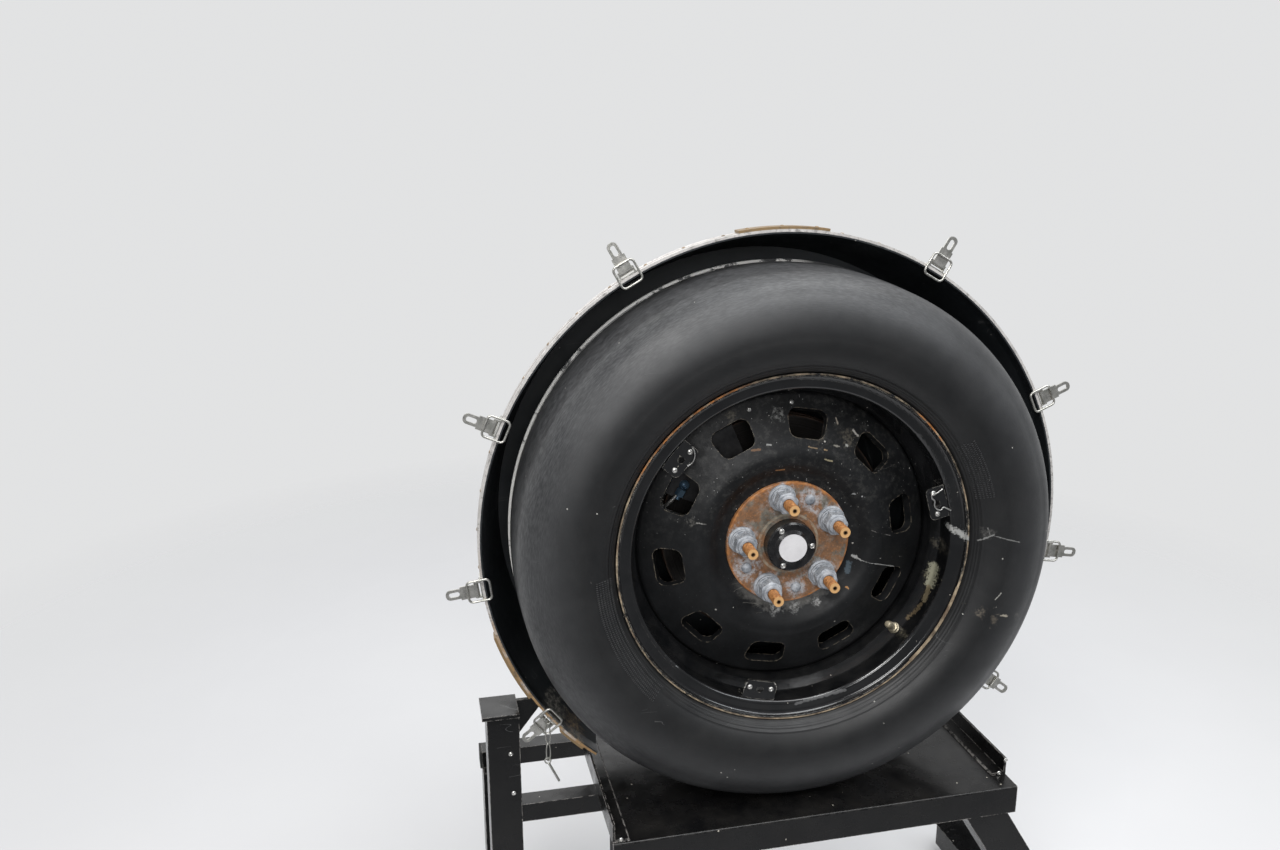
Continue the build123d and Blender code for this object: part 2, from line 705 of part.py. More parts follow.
def latch_lever():
    """The lever: a knuckle on the pin, a flat plate and a slotted thumb loop."""
    y0, y1 = TUB_FRONT, TUB_FRONT + LEVER_T
    plate_end = PIN_X + LEVER_LEN
    tip = plate_end + LOOP_LEN
    loop = across(LOOP_W / 2, plate_end - LOOP_LAP, tip, y0, y1)
    loop = fillet(loop.edges().filter_by(Axis.Y).group_by(Axis.X)[-1], LOOP_W / 2 - CUT / 2)
    slot = across(LOOP_SLOT / 2, plate_end + CUT, tip - LOOP_WEB, y0 - CUT, y1 + CUT)
    slot = fillet(slot.edges().filter_by(Axis.Y), LOOP_SLOT / 2 - CUT / 4)
    knuckle = Pos(PIN_X, PIN_Y, 0) * Cylinder(KNUCKLE_R, LEVER_W)
    eye = Pos(PIN_X, PIN_Y, 0) * Cylinder(PIN_R + PIN_GAP, LEVER_W + CUT)
    return knuckle + across(LEVER_W / 2, PIN_X, plate_end, y0, y1) + loop - slot - eye


def latch_bail():
    """The wire bail, laid over the tub's edge in front of the lever."""
    y = TUB_FRONT - SEAT_GAP - WIRE_R
    length, middle = BAIL_OUT + BAIL_IN - 2 * WIRE_R, EDGE_R + (BAIL_OUT - BAIL_IN) / 2
    outline = Plane.XZ * RectangleRounded(length, BAIL_W - 2 * WIRE_R, BAIL_BEND)
    path = outline.face().outer_wire()
    start = path @ 0
    section = Plane(origin=start, z_dir=path % 0) * Circle(WIRE_R)
    return Pos(middle, y, 0) * sweep(section, path=path)


def square_tube(size, start, end):
    """A square tube between two points, one pair of its faces upright."""
    path = Vector(*end) - Vector(*start)
    runs_along_y = abs(path.Y) > max(abs(path.X), abs(path.Z))
    plane = Plane(origin=start, x_dir=(1, 0, 0) if runs_along_y else (0, 1, 0), z_dir=path)
    bore = size - 2 * TUBE_WALL
    return extrude(plane * (Rectangle(size, size) - Rectangle(bore, bore)), amount=path.length)


def tray():
    """The folded tray: floor, and aprons down at the front and the back."""
    low = FLOOR_Z - APRON
    folded = block(TRAY_LEFT, TRAY_RIGHT, TRAY_FRONT, TRAY_BACK, FLOOR_Z - TRAY_T, FLOOR_Z)
    for y in (TRAY_FRONT, TRAY_BACK - TRAY_T):
        folded += block(TRAY_LEFT, TRAY_RIGHT, y, y + TRAY_T, low, FLOOR_Z)
    return fillet(folded.edges().filter_by(Axis.X).group_by(Axis.Z)[-1], TRAY_FOLD)


def side_angle(x_out, inward, y_set):
    """An angle iron on the tray's floor, its upright leg flush with the tray's side."""
    y0 = TRAY_FRONT + y_set
    legs = [sorted((x_out, x_out + inward * width)) for width in (TRAY_T, SIDE_W)]
    upright = block(*legs[0], y0, TRAY_BACK, FLOOR_Z, FLOOR_Z + SIDE_H)
    return upright + block(*legs[1], y0, TRAY_BACK, FLOOR_Z, FLOOR_Z + TRAY_T)


def straight_tubes():
    """The stand's single straight tubes: node, size, start, end."""
    left, right = TRAY_LEFT + TUBE_SET, TRAY_RIGHT - TUBE_SET
    post, leg = POST_TUBE / 2, LEG_TUBE / 2
    under_saddle = POST_TOP - SADDLE_T
    base_left, base_right = POST_X + leg, RUNNER_X - leg
    return (
        ("front_bearer", TUBE, (left, FRONT_BAR_Y, BAR_Z), (right, FRONT_BAR_Y, BAR_Z)),
        ("crossbar", TUBE, (POST_X + post, CROSSBAR_Y, BAR_Z), (right, CROSSBAR_Y, BAR_Z)),
        ("back_bearer", TUBE, (POST_X - post, BACK_BAR_Y, BAR_Z), (right, BACK_BAR_Y, BAR_Z)),
        ("front_post", POST_TUBE, (POST_X, CROSSBAR_Y, RUNNER_TOP), (POST_X, CROSSBAR_Y, under_saddle)),
        ("back_post", POST_TUBE, (POST_X, BACK_POST_Y, RUNNER_TOP), (POST_X, BACK_POST_Y, LEG_TOP)),
        ("base_crossbar", LEG_TUBE, (base_left, BASE_BAR_Y, RUNNER_Z), (base_right, BASE_BAR_Y, RUNNER_Z)),
    )


def tray_rails():
    """Short tubes that join the bearers under the tray's ends."""
    rails = []
    for x in (TRAY_LEFT + TUBE / 2 + RAIL_SET, TRAY_RIGHT - TUBE / 2 - RAIL_SET):
        for y0, y1 in ((FRONT_BAR_Y, CROSSBAR_Y), (CROSSBAR_Y, BACK_BAR_Y)):
            rails.append(square_tube(TUBE, (x, y0 + TUBE / 2, BAR_Z), (x, y1 - TUBE / 2, BAR_Z)))
    return rails


def splayed_leg(top_x, y):
    """A leg from the bearers out to the runner, cut level at both ends."""
    lean = (RUNNER_X - top_x) / (LEG_TOP - RUNNER_TOP)
    start = (top_x - lean * LEG_TUBE, y, LEG_TOP + LEG_TUBE)
    leg = square_tube(LEG_TUBE, start, (RUNNER_X + lean * LEG_TUBE, y, RUNNER_TOP - LEG_TUBE))
    room = block(TRAY_LEFT, RUNNER_X + LEG_TUBE, y - LEG_TUBE, y + LEG_TUBE, RUNNER_TOP, LEG_TOP)
    return leg & room


def runner(x):
    return square_tube(LEG_TUBE, (x, RUNNER_FRONT, RUNNER_Z), (x, RUNNER_BACK, RUNNER_Z))


def feet():
    """A coned rubber pad under each end of the runners."""
    pad = Cone(FOOT_R, FOOT_NECK_R, FOOT_H)
    ends = (RUNNER_FRONT + FOOT_SET, RUNNER_BACK - FOOT_SET)
    return [Pos(x, y, BASE_Z + FOOT_H / 2) * pad for x in (POST_X, RUNNER_X) for y in ends]


def tube_plug(size):
    """A square plug, its cap on the XY plane and its stem below."""
    stem = size - 2 * TUBE_WALL - 2 * SEAT_GAP
    return block(-size / 2, size / 2, -size / 2, size / 2, 0, PLUG_T) + Pos(0, 0, -PLUG_DEPTH / 2) * Box(
        stem, stem, PLUG_DEPTH
    )


def tube_plugs():
    """Plastic plugs in the open tube ends: place and outward direction."""
    right = TRAY_RIGHT - TUBE_SET
    ends = [
        (TUBE, (TRAY_LEFT + TUBE_SET, FRONT_BAR_Y, BAR_Z), (-1, 0, 0)),
        (TUBE, (right, FRONT_BAR_Y, BAR_Z), (1, 0, 0)),
        (TUBE, (right, CROSSBAR_Y, BAR_Z), (1, 0, 0)),
        (TUBE, (right, BACK_BAR_Y, BAR_Z), (1, 0, 0)),
        (TUBE, (POST_X - POST_TUBE / 2, BACK_BAR_Y, BAR_Z), (-1, 0, 0)),
    ]
    for x in (POST_X, RUNNER_X):
        ends.append((LEG_TUBE, (x, RUNNER_FRONT, RUNNER_Z), (0, -1, 0)))
        ends.append((LEG_TUBE, (x, RUNNER_BACK, RUNNER_Z), (0, 1, 0)))
    return [Plane(origin=place, x_dir=(0, 0, 1), z_dir=out) * tube_plug(size) for size, place, out in ends]


def post_saddle():
    """The plate on the post's top, cut back on the tub's side."""
    half = SADDLE_W / 2
    front, back = CROSSBAR_Y - half, CROSSBAR_Y + half
    return block(POST_X - half, POST_FACE, front, back, POST_TOP - SADDLE_T, POST_TOP)


def tub_gusset():
    """The plate from the post to the edge strip of the tub, before the stand's turn."""
    top, low = POST_TOP - GUSSET_DROP, POST_TOP - GUSSET_DROP - GUSSET_H
    corners = (
        (POST_FACE, top),
        (POST_FACE, low),
        (POST_FACE + GUSSET_REACH, low + GUSSET_RISE),
        (POST_FACE + GUSSET_REACH, top),
    )
    y = CROSSBAR_Y + POST_TUBE / 2 - GUSSET_T
    return along_y(Plane.XZ * closed(corners), y, y + GUSSET_T)


# Wheel
node("rim_barrel", rim_barrel())
node("wheel_disc", wheel_disc())
node("tyre", tyre())
node("hub_plate", hub_plate())
node("wheel_studs", *turned_each(stud_angles(), stud()))
node("lug_nuts", *turned_each(stud_angles(), lug_nut()))
node("plate_bolts", *turned_each(PLATE_BOLT_ANGLES, plate_bolt()))
node("centre_cap", centre_cap())
node("cap_badge", cap_badge())
node("cap_screws", *turned_each(CAP_SCREW_ANGLES, cap_screw()))
node("cover_brackets", *turned_each(BRACKET_ANGLES, cover_bracket()))
node("bracket_rivets", *[head for rivet in bracket_rivets() for head in turned_each(BRACKET_ANGLES, rivet)])
node("valve", valve())
node("hub", hub())
node("brake_rotor", brake_rotor())

# Axle and brake
node("axle_stub", axle_stub())
node("axle_tube", axle_tube())
node("axle_end_flange", axle_end_flange())
node("caliper_bracket", caliper_bracket())
node("brake_caliper", brake_caliper())

# Tub
node("tub_band", tub_band())
node("tub_back", tub_back())
node("tub_edge_strip", edge_part(TUB_R, EDGE_T, TUB_FROM_ANGLE, TUB_TO_ANGLE))
node("edge_doublers", *[edge_part(EDGE_R, DOUBLER_T, *angles) for angles in DOUBLER_ANGLES])
node("tub_collar", tub_collar())
node("latch_bases", *turned_each(LATCH_ANGLES, latch_base()))
node("latch_levers", *turned_each(LATCH_ANGLES, latch_lever()))
node("latch_bails", *turned_each(LATCH_ANGLES, latch_bail()))

# Stand
stand_turn = Rot(0, 0, STAND_YAW)
stand = {
    "tray": [tray()],
    "tray_side_left": [side_angle(TRAY_LEFT, 1, LEFT_SIDE_SET)],
    "tray_side_right": [side_angle(TRAY_RIGHT, -1, RIGHT_SIDE_SET)],
    "tray_rails": tray_rails(),
    "front_leg": [splayed_leg(FRONT_LEG_X, FRONT_LEG_Y)],
    "back_leg": [splayed_leg(BACK_LEG_X, BACK_LEG_Y)],
    "runners": [runner(POST_X), runner(RUNNER_X)],
    "feet": feet(),
    "tube_plugs": tube_plugs(),
    "post_saddle": [post_saddle()],
}
for name, size, start, end in straight_tubes():
    stand[name] = [square_tube(size, start, end)]
for name, solids in stand.items():
    node(name, *[stand_turn * solid for solid in solids])
node("tub_gusset", stand_turn * tub_gusset() - edge_room())

boxes = [shape.bounding_box() for shape in NODES.values()]
low = [min(getattr(box.min, axis) for box in boxes) for axis in "XYZ"]
high = [max(getattr(box.max, axis) for box in boxes) for axis in "XYZ"]
shift = (-(low[0] + high[0]) / 2, -(low[1] + high[1]) / 2, -low[2])
os.makedirs("parts", exist_ok=True)
for name, shape in NODES.items():
    export_step(Pos(*shift) * shape, f"parts/{name}.step")
print("origin shift", shift, "size", [b - a for a, b in zip(low, high)])
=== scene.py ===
import json
import math

import bmesh
import bpy
from mathutils import Matrix, Vector


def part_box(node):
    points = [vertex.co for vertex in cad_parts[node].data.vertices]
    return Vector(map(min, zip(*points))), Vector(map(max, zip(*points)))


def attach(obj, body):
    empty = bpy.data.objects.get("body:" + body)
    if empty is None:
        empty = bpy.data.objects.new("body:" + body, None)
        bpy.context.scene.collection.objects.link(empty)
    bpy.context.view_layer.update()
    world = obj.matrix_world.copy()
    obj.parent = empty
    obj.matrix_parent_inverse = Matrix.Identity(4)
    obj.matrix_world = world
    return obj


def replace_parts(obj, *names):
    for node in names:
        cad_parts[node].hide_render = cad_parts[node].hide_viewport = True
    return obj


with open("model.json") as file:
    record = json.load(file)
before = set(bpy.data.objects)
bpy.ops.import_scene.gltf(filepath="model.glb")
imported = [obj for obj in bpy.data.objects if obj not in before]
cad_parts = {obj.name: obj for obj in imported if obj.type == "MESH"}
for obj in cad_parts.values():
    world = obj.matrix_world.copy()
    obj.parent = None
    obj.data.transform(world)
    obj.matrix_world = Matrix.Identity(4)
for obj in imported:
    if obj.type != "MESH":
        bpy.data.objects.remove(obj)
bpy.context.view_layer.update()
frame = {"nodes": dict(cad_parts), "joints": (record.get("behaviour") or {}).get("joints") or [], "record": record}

# Places come from the frame. The wheel's own frame has its origin on the axle line, in the plane of the
# rim's outboard flange: X along the car, Y inboard, Z up, in millimetres. Angles run from +X towards +Z.
SPIN = next(joint for joint in frame["joints"] if joint["name"] == "wheel_spin")
AXLE = Vector((SPIN["pos_m"][0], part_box("rim_barrel")[0][1], SPIN["pos_m"][2]))
MM = 0.001

# The studs, the bolts between them and the front face of the hub plate
STUD_CIRCLE = 60.325
STUD_START = 28.0
STUD_STEP = 72.0
STUD_ANGLES = tuple(STUD_START + STUD_STEP * i for i in range(5))
BOLT_ANGLES = (64.8, 208.8, 280.8)
PLATE_Y = 36.0
# Grooves turned in a nut's hexagon, by their inboard edges from the plate, and the depths of all its grooves
NUT_RINGS = (-13.0, -16.4, -19.8)
NUT_GROOVES = (30.5, 26.0) + tuple(PLATE_Y + ring - 0.5 for ring in NUT_RINGS)
# The tub's edge, and its latches
EDGE_R = 378.5
TUB_FRONT = 78.0
LATCH_ANGLES = (218.5, 187.8, 156.7, 120.2, 59.8, 24.5, -7.9, -37.4)


def at(x, y, z):
    """A point of the wheel's frame, in metres in the row frame."""
    return AXLE + Vector((x, y, z)) * MM


def polar(radius, angle, y):
    turn = math.radians(angle)
    return at(radius * math.cos(turn), y, radius * math.sin(turn))


# Shader nodes


class Nodes:
    """Short calls that add nodes to a tree and return an output of each."""

    def __init__(self, tree):
        self.tree = tree
        self.coordinates = None

    def feed(self, socket, value):
        """Link a socket or set its value. A colour is written as three numbers."""
        if isinstance(value, bpy.types.NodeSocket):
            self.tree.links.new(value, socket)
        else:
            socket.default_value = (*value, 1) if socket.type == "RGBA" else value

    def add(self, kind, inputs=None, out=0, **settings):
        node = self.tree.nodes.new(kind)
        for key, value in settings.items():
            setattr(node, key, value)
        for key, value in (inputs or {}).items():
            self.feed(node.inputs[key], value)
        return node.outputs[out]

    def group(self, tree, **inputs):
        """Place a shared group and return its outputs."""
        node = self.tree.nodes.new("ShaderNodeGroup")
        node.node_tree = tree
        for key, value in inputs.items():
            self.feed(node.inputs[key.capitalize()], value)
        return node.outputs

    def place(self):
        """The object's own coordinates, from one node of the tree."""
        if self.coordinates is None:
            self.coordinates = self.add("ShaderNodeTexCoord", out=3)
        return self.coordinates

    def calc(self, operation, a, b=0.0, clamp=False):
        return self.add("ShaderNodeMath", {0: a, 1: b}, operation=operation, use_clamp=clamp)

    def times(self, first, *others):
        for other in others:
            first = self.calc("MULTIPLY", first, other)
        return first

    def most(self, first, *others):
        for other in others:
            first = self.calc("MAXIMUM", first, other)
        return first

    def vector(self, operation, a, b=(0.0, 0.0, 0.0)):
        """Vector math. A length, a distance and a dot product come from the second output."""
        out = 1 if operation in ("LENGTH", "DISTANCE", "DOT_PRODUCT") else 0
        return self.add("ShaderNodeVectorMath", {0: a, 1: b}, out=out, operation=operation)

    def combine(self, x=0.0, y=0.0, z=0.0):
        return self.add("ShaderNodeCombineXYZ", {0: x, 1: y, 2: z})

    def split(self, vector):
        return self.add("ShaderNodeSeparateXYZ", {0: vector}).node.outputs

    def fit(self, value, low, high, to_low=0.0, to_high=1.0):
        inputs = {"Value": value, "From Min": low, "From Max": high, "To Min": to_low, "To Max": to_high}
        return self.add("ShaderNodeMapRange", inputs)

    def between(self, value, low, high, soft):
        """1 between two values, with soft sides."""
        return self.times(self.fit(value, low - soft, low), self.fit(value, high, high + soft, 1.0, 0.0))

    def noise(self, scale, detail=3.0, roughness=0.55, distortion=0.0, vector=None):
        """Noise over the object, or over another vector."""
        inputs = {"Vector": self.place() if vector is None else vector, "Scale": scale, "Detail": detail}
        inputs.update({"Roughness": roughness, "Distortion": distortion})
        return self.add("ShaderNodeTexNoise", inputs)

    def cloud(self, scale, detail, roughness, low, high, to_low=0.0, to_high=1.0):
        """Noise over the object, cut off at a low and a high level."""
        return self.fit(self.noise(scale, detail, roughness), low, high, to_low, to_high)

    def spread(self, scale, to_low, to_high, detail=4.0, roughness=0.55):
        """Noise over the object, spread over a range of values."""
        return self.cloud(scale, detail, roughness, 0.3, 0.7, to_low, to_high)

    def blend(self, share, a, b):
        """Colour a, going over to colour b with the share."""
        return self.add("ShaderNodeMix", {0: share, 6: a, 7: b}, out=2, data_type="RGBA")

    def mix(self, share, a, b):
        return self.add("ShaderNodeMix", {0: share, 2: a, 3: b})

    def bump(self, height, distance, strength):
        return self.add("ShaderNodeBump", {"Height": height, "Distance": distance, "Strength": strength})


def shader_group(name, inputs, outputs):
    """A shader group with named inputs and outputs: its tree, nodes, input sockets and output sockets."""
    tree = bpy.data.node_groups.new(name, "ShaderNodeTree")
    for label, default in inputs.items():
        kind = "NodeSocketVector" if isinstance(default, tuple) else "NodeSocketFloat"
        tree.interface.new_socket(label, in_out="INPUT", socket_type=kind).default_value = default
    for label in outputs:
        kind = "NodeSocketColor" if label == "Tint" else "NodeSocketFloat"
        tree.interface.new_socket(label, in_out="OUTPUT", socket_type=kind)
    source = tree.nodes.new("NodeGroupInput")
    sink = tree.nodes.new("NodeGroupOutput")
    return tree, Nodes(tree), source.outputs, sink.inputs


def make_axle_ring():
    """Radius, angle in turns and depth about the axle, in metres."""
    tree, n, _, sink = shader_group("axle_ring", {}, ("Radius", "Angle", "Depth"))
    x, depth, z = n.split(n.add("ShaderNodeMapping", {"Vector": n.place(), "Location": -AXLE}))
    n.feed(sink["Radius"], n.vector("LENGTH", n.combine(x, z)))
    n.feed(sink["Angle"], n.calc("DIVIDE", n.calc("ARCTAN2", z, x), math.tau))
    n.feed(sink["Depth"], depth)
    return tree


def make_edge_wear():
    """Worn corners: where the rounded normal leaves the true one, broken up by noise."""
    inputs = {"Width": 0.001, "Scale": 300.0, "Amount": 0.5}
    tree, n, source, sink = shader_group("edge_wear", inputs, ("Mask",))
    rounded = n.add("ShaderNodeBevel", {"Radius": source["Width"]}, samples=4)
    straight = n.add("ShaderNodeNewGeometry", out=1)
    corner = n.fit(n.vector("DOT_PRODUCT", rounded, straight), 0.998, 0.9)
    level = n.times(n.calc("SUBTRACT", 1.0, source["Amount"]), 0.7)
    broken = n.fit(n.calc("SUBTRACT", n.noise(source["Scale"], 4.0, 0.65), level), 0.0, 0.12)
    n.feed(sink["Mask"], n.times(corner, broken))
    return tree


def make_dust():
    """Dust in soft clouds, thicker on what faces up."""
    tree, n, source, sink = shader_group("dust", {"Amount": 0.3, "Scale": 25.0}, ("Mask",))
    normal = n.add("ShaderNodeTexCoord", out=1)
    up = n.fit(n.split(normal)[2], -0.2, 1.0, 0.25, 1.0)
    n.feed(sink["Mask"], n.times(n.cloud(source["Scale"], 6.0, 0.7, 0.38, 0.75), up, source["Amount"]))
    return tree


def make_specks():
    """Small separate specks, in a share of the cells of a pattern."""
    inputs = {"Scale": 200.0, "Share": 0.2, "Size": 0.2}
    tree, n, source, sink = shader_group("specks", inputs, ("Mask",))
    cells = {"Vector": n.place(), "Scale": source["Scale"]}
    distance, colour = list(n.add("ShaderNodeTexVoronoi", cells).node.outputs)[:2]
    chosen = n.calc("LESS_THAN", n.add("ShaderNodeSeparateColor", {0: colour}), source["Share"])
    size = n.times(source["Size"], n.spread(900.0, 0.5, 1.4, 2.0))
    n.feed(sink["Mask"], n.times(n.calc("LESS_THAN", distance, size), chosen))
    return tree


def make_scratches():
    """Fine curved hairlines, broken into short runs."""
    tree, n, source, sink = shader_group("scratches", {"Scale": 30.0, "Share": 0.4}, ("Mask",))
    turn = {"Vector": n.place(), "Rotation": (0.4, 0.9, 0.3), "Scale": (1, 1, 4)}
    waves = n.noise(source["Scale"], 1.0, 0.4, 0.6, n.add("ShaderNodeMapping", turn))
    hair = n.fit(n.calc("ABSOLUTE", n.calc("SUBTRACT", waves, 0.5)), 0.0, 0.006, 1.0, 0.0)
    runs = n.calc("LESS_THAN", n.cloud(14.0, 2.0, 0.55, 0.72, 0.5), source["Share"])
    n.feed(sink["Mask"], n.times(hair, runs))
    return tree


def make_grain():
    """Fine surface grain as a height."""
    tree, n, source, sink = shader_group("grain", {"Scale": 900.0, "Coarse": 0.3}, ("Height",))
    fine = n.noise(source["Scale"], 2.0, 0.6)
    coarse = n.noise(n.calc("DIVIDE", source["Scale"], 9.0))
    n.feed(sink["Height"], n.mix(source["Coarse"], fine, coarse))
    return tree


def make_rust():
    """Rust: where it lies, and its mottled brown and orange."""
    tree, n, source, sink = shader_group("rust", {"Scale": 60.0, "Amount": 0.5}, ("Mask", "Tint"))
    cover = n.noise(source["Scale"], 6.0, 0.72, 0.4)
    level = n.calc("SUBTRACT", 0.82, n.times(source["Amount"], 0.62))
    n.feed(sink["Mask"], n.fit(n.calc("SUBTRACT", cover, level), 0.0, 0.09))
    brown = n.blend(n.cloud(140.0, 5.0, 0.7, 0.35, 0.68), (0.075, 0.034, 0.018), (0.3, 0.115, 0.032))
    n.feed(sink["Tint"], n.blend(n.cloud(420.0, 3.0, 0.6, 0.55, 0.75), brown, (0.5, 0.2, 0.055)))
    return tree


def distance_with(n, offset, share):
    """The length of an offset with a share of its depth, so that a mark reaches over steps in the surface."""
    return n.vector("LENGTH", n.vector("MULTIPLY", offset, n.combine(1.0, share, 1.0)))


def ragged_mask(n, away, size, ragged, inner, noise):
    """1 near a mark and 0 beyond its size, its edge made ragged by a (scale, detail, roughness) noise."""
    scale, detail, roughness = noise
    uneven = n.times(n.spread(scale, -1.0, 1.0, detail, roughness), ragged)
    reach = n.times(size, n.calc("ADD", uneven, 1.0))
    return n.fit(n.calc("DIVIDE", away, reach), 1.0, inner)


def make_patch():
    """A ragged patch about one point of the wheel's frame."""
    inputs = {"Centre": (0.0, 0.0, 0.0), "Size": 0.02, "Ragged": 0.5, "Depth": 0.4}
    tree, n, source, sink = shader_group("patch", inputs, ("Mask",))
    away = distance_with(n, n.vector("SUBTRACT", n.place(), source["Centre"]), source["Depth"])
    mask = ragged_mask(n, away, source["Size"], source["Ragged"], 0.55, (130.0, 5.0, 0.7))
    n.feed(sink["Mask"], mask)
    return tree


def make_streak():
    """A ragged streak along one straight line of the wheel's frame."""
    inputs = {"Start": (0.0, 0.0, 0.0), "Along": (0.01, 0.0, 0.0)}
    inputs.update({"Width": 0.001, "Ragged": 0.5, "Depth": 0.4})
    tree, n, source, sink = shader_group("streak", inputs, ("Mask",))
    along = source["Along"]
    offset = n.vector("SUBTRACT", n.place(), source["Start"])
    whole = n.vector("DOT_PRODUCT", along, along)
    share = n.calc("DIVIDE", n.vector("DOT_PRODUCT", offset, along), whole, True)
    foot = n.add("ShaderNodeVectorMath", {0: along, "Scale": share}, operation="SCALE")
    away = distance_with(n, n.vector("SUBTRACT", offset, foot), source["Depth"])
    mask = ragged_mask(n, away, source["Width"], source["Ragged"], 0.6, (380.0, 4.0, 0.65))
    n.feed(sink["Mask"], mask)
    return tree


AXLE_RING = make_axle_ring()
EDGE_WEAR = make_edge_wear()
DUST = make_dust()
SPECKS = make_specks()
SCRATCHES = make_scratches()
GRAIN = make_grain()
RUST = make_rust()
PATCH = make_patch()
STREAK = make_streak()


# Finishes: radii and depths are in metres here, angles in turns, and colours are linear


class Finish(Nodes):
    """A material in the making: its nodes, its shader's sockets and the colour laid so far."""

    def __init__(self, name, **constants):
        self.material = bpy.data.materials.new(name)
        self.material.use_nodes = True
        super().__init__(self.material.node_tree)
        self.tree.nodes.clear()
        surface = self.tree.nodes.new("ShaderNodeOutputMaterial")
        shader = self.tree.nodes.new("ShaderNodeBsdfPrincipled")
        self.tree.links.new(shader.outputs[0], surface.inputs[0])
        for key, value in constants.items():
            shader.inputs[key.replace("_", " ")].default_value = value
        self.shader = shader.inputs
        self.colour = None

    def ring(self):
        """Radius, angle in turns and depth about the axle."""
        return tuple(self.group(AXLE_RING))

    def mottle(self, dark, light, *cloud):
        """A colour between two, by a cloud of noise."""
        return self.blend(self.cloud(*cloud), dark, light)

    def lay(self, share, tint):
        """Lay a tint over the colour so far."""
        self.colour = self.blend(share, self.colour, tint)

    def dust(self, amount, scale, tint):
        self.lay(self.group(DUST, amount=amount, scale=scale)[0], tint)

    def specks(self, scale, share, size, tint):
        self.lay(self.group(SPECKS, scale=scale, share=share, size=size)[0], tint)

    def scratches(self, scale, share, tint):
        self.lay(self.group(SCRATCHES, scale=scale, share=share)[0], tint)

    def wear(self, width, scale, amount, tint, strength=1.0):
        """Rub the corners down to a tint."""
        corners = self.group(EDGE_WEAR, width=width, scale=scale, amount=amount)[0]
        self.lay(self.times(corners, strength), tint)

    def marks(self, patches, streaks, depth=0.4):
        """Lay the surface's own marks: patches as (centre, size, share, tint), and streaks with two ends."""
        for centre, size, share, tint in patches:
            patch = self.group(PATCH, centre=at(*centre), size=size * MM, ragged=0.7, depth=depth)[0]
            self.lay(self.times(patch, self.cloud(240.0, 4.0, 0.7, 0.42, 0.6, 0.0, share)), tint)
        for start, end, width, share, tint in streaks:
            line = {"start": at(*start), "along": (Vector(end) - Vector(start)) * MM, "width": width * MM}
            self.lay(self.times(self.group(STREAK, ragged=0.8, depth=depth, **line)[0], share), tint)

    def grain(self, scale, coarse, height, strength):
        """A normal with fine grain."""
        return self.bump(self.group(GRAIN, scale=scale, coarse=coarse)[0], height, strength)

    def done(self, roughness, normal, metallic=0.0):
        """Feed the shader and return the material."""
        sockets = {"Base Color": self.colour, "Roughness": roughness, "Normal": normal, "Metallic": metallic}
        for label, value in sockets.items():
            self.feed(self.shader[label], value)
        return self.material


def tyre_rubber():
    """Black rubber, dark by the rim, grey and scuffed on the shoulder, with a painted highlight line on the
    tread's inboard ridge.
    """
    f = Finish("tyre_rubber", Specular_IOR_Level=0.58)
    radius, angle, depth = f.ring()
    clouds = f.cloud(9.0, 5.0, 0.6, 0.35, 0.7)
    clean = f.blend(clouds, (0.0032, 0.0034, 0.0038), (0.0065, 0.0068, 0.0075))
    dusty = f.blend(clouds, (0.024, 0.0246, 0.0262), (0.052, 0.0532, 0.0552))
    f.colour = f.blend(f.fit(radius, 0.262, 0.306, 0.0, 0.92), clean, dusty)
    streaky = f.noise(240.0, 4.0, 0.6, vector=f.combine(f.times(radius, 5.0), angle, depth))
    left = f.most(f.between(angle, 0.2, 0.49, 0.05), f.between(angle, -0.5, -0.38, 0.04))
    scuffed = f.times(f.fit(radius, 0.288, 0.33), f.fit(streaky, 0.4, 0.68))
    f.lay(f.times(scuffed, f.mix(left, 0.2, 0.5)), (0.14, 0.142, 0.146))
    # Painted highlight: a pale, broken line along the tread's inboard ridge, laid on the upper left only.
    line = f.times(f.between(depth, 0.1175, 0.1352, 0.0006), f.fit(radius, 0.331, 0.333))
    painted_highlight_arc = f.most(f.fit(angle, 0.225, 0.24), f.fit(angle, -0.46, -0.475))
    f.lay(f.times(line, painted_highlight_arc, f.cloud(30.0, 6.0, 0.7, 0.41, 0.45)), (0.8, 0.79, 0.76))
    f.dust(0.1, 16.0, (0.17, 0.165, 0.155))
    f.specks(120.0, 0.03, 0.11, (0.4, 0.39, 0.36))
    f.scratches(16.0, 0.2, (0.09, 0.09, 0.09))
    patches = (
        ((232, -20, -86), 8, 0.4, (0.26, 0.22, 0.17)),
        ((250, -21, -96), 7, 0.3, (0.24, 0.2, 0.15)),
        ((236, -20, 16), 9, 0.25, (0.3, 0.29, 0.27)),
        ((286, -21, -98), 7, 0.25, (0.2, 0.19, 0.17)),
    )
    streaks = (
        ((216, -4, -78), (268, -22, -94), 1.6, 0.85, (0.4, 0.36, 0.29)),
        ((218, -6, -84), (246, -19, -108), 1.3, 0.8, (0.38, 0.34, 0.28)),
        ((240, -16, -84), (252, -20, -80), 0.9, 0.8, (0.45, 0.42, 0.36)),
        ((250, -20, -70), (257, -21, -62), 0.8, 0.7, (0.45, 0.44, 0.4)),
        ((228, -8, 4), (243, -20, 14), 1.2, 0.7, (0.3, 0.3, 0.29)),
        ((236, -18, 22), (240, -20, 10), 0.8, 0.6, (0.3, 0.3, 0.29)),
        ((243, -20, 13), (275, -22, 4), 0.8, 0.6, (0.27, 0.27, 0.26)),
    )
    f.marks(patches, streaks, 0.1)
    return f.done(f.spread(45.0, 0.42, 0.54, 5.0, 0.65), f.grain(1100.0, 0.4, 0.0004, 0.4))


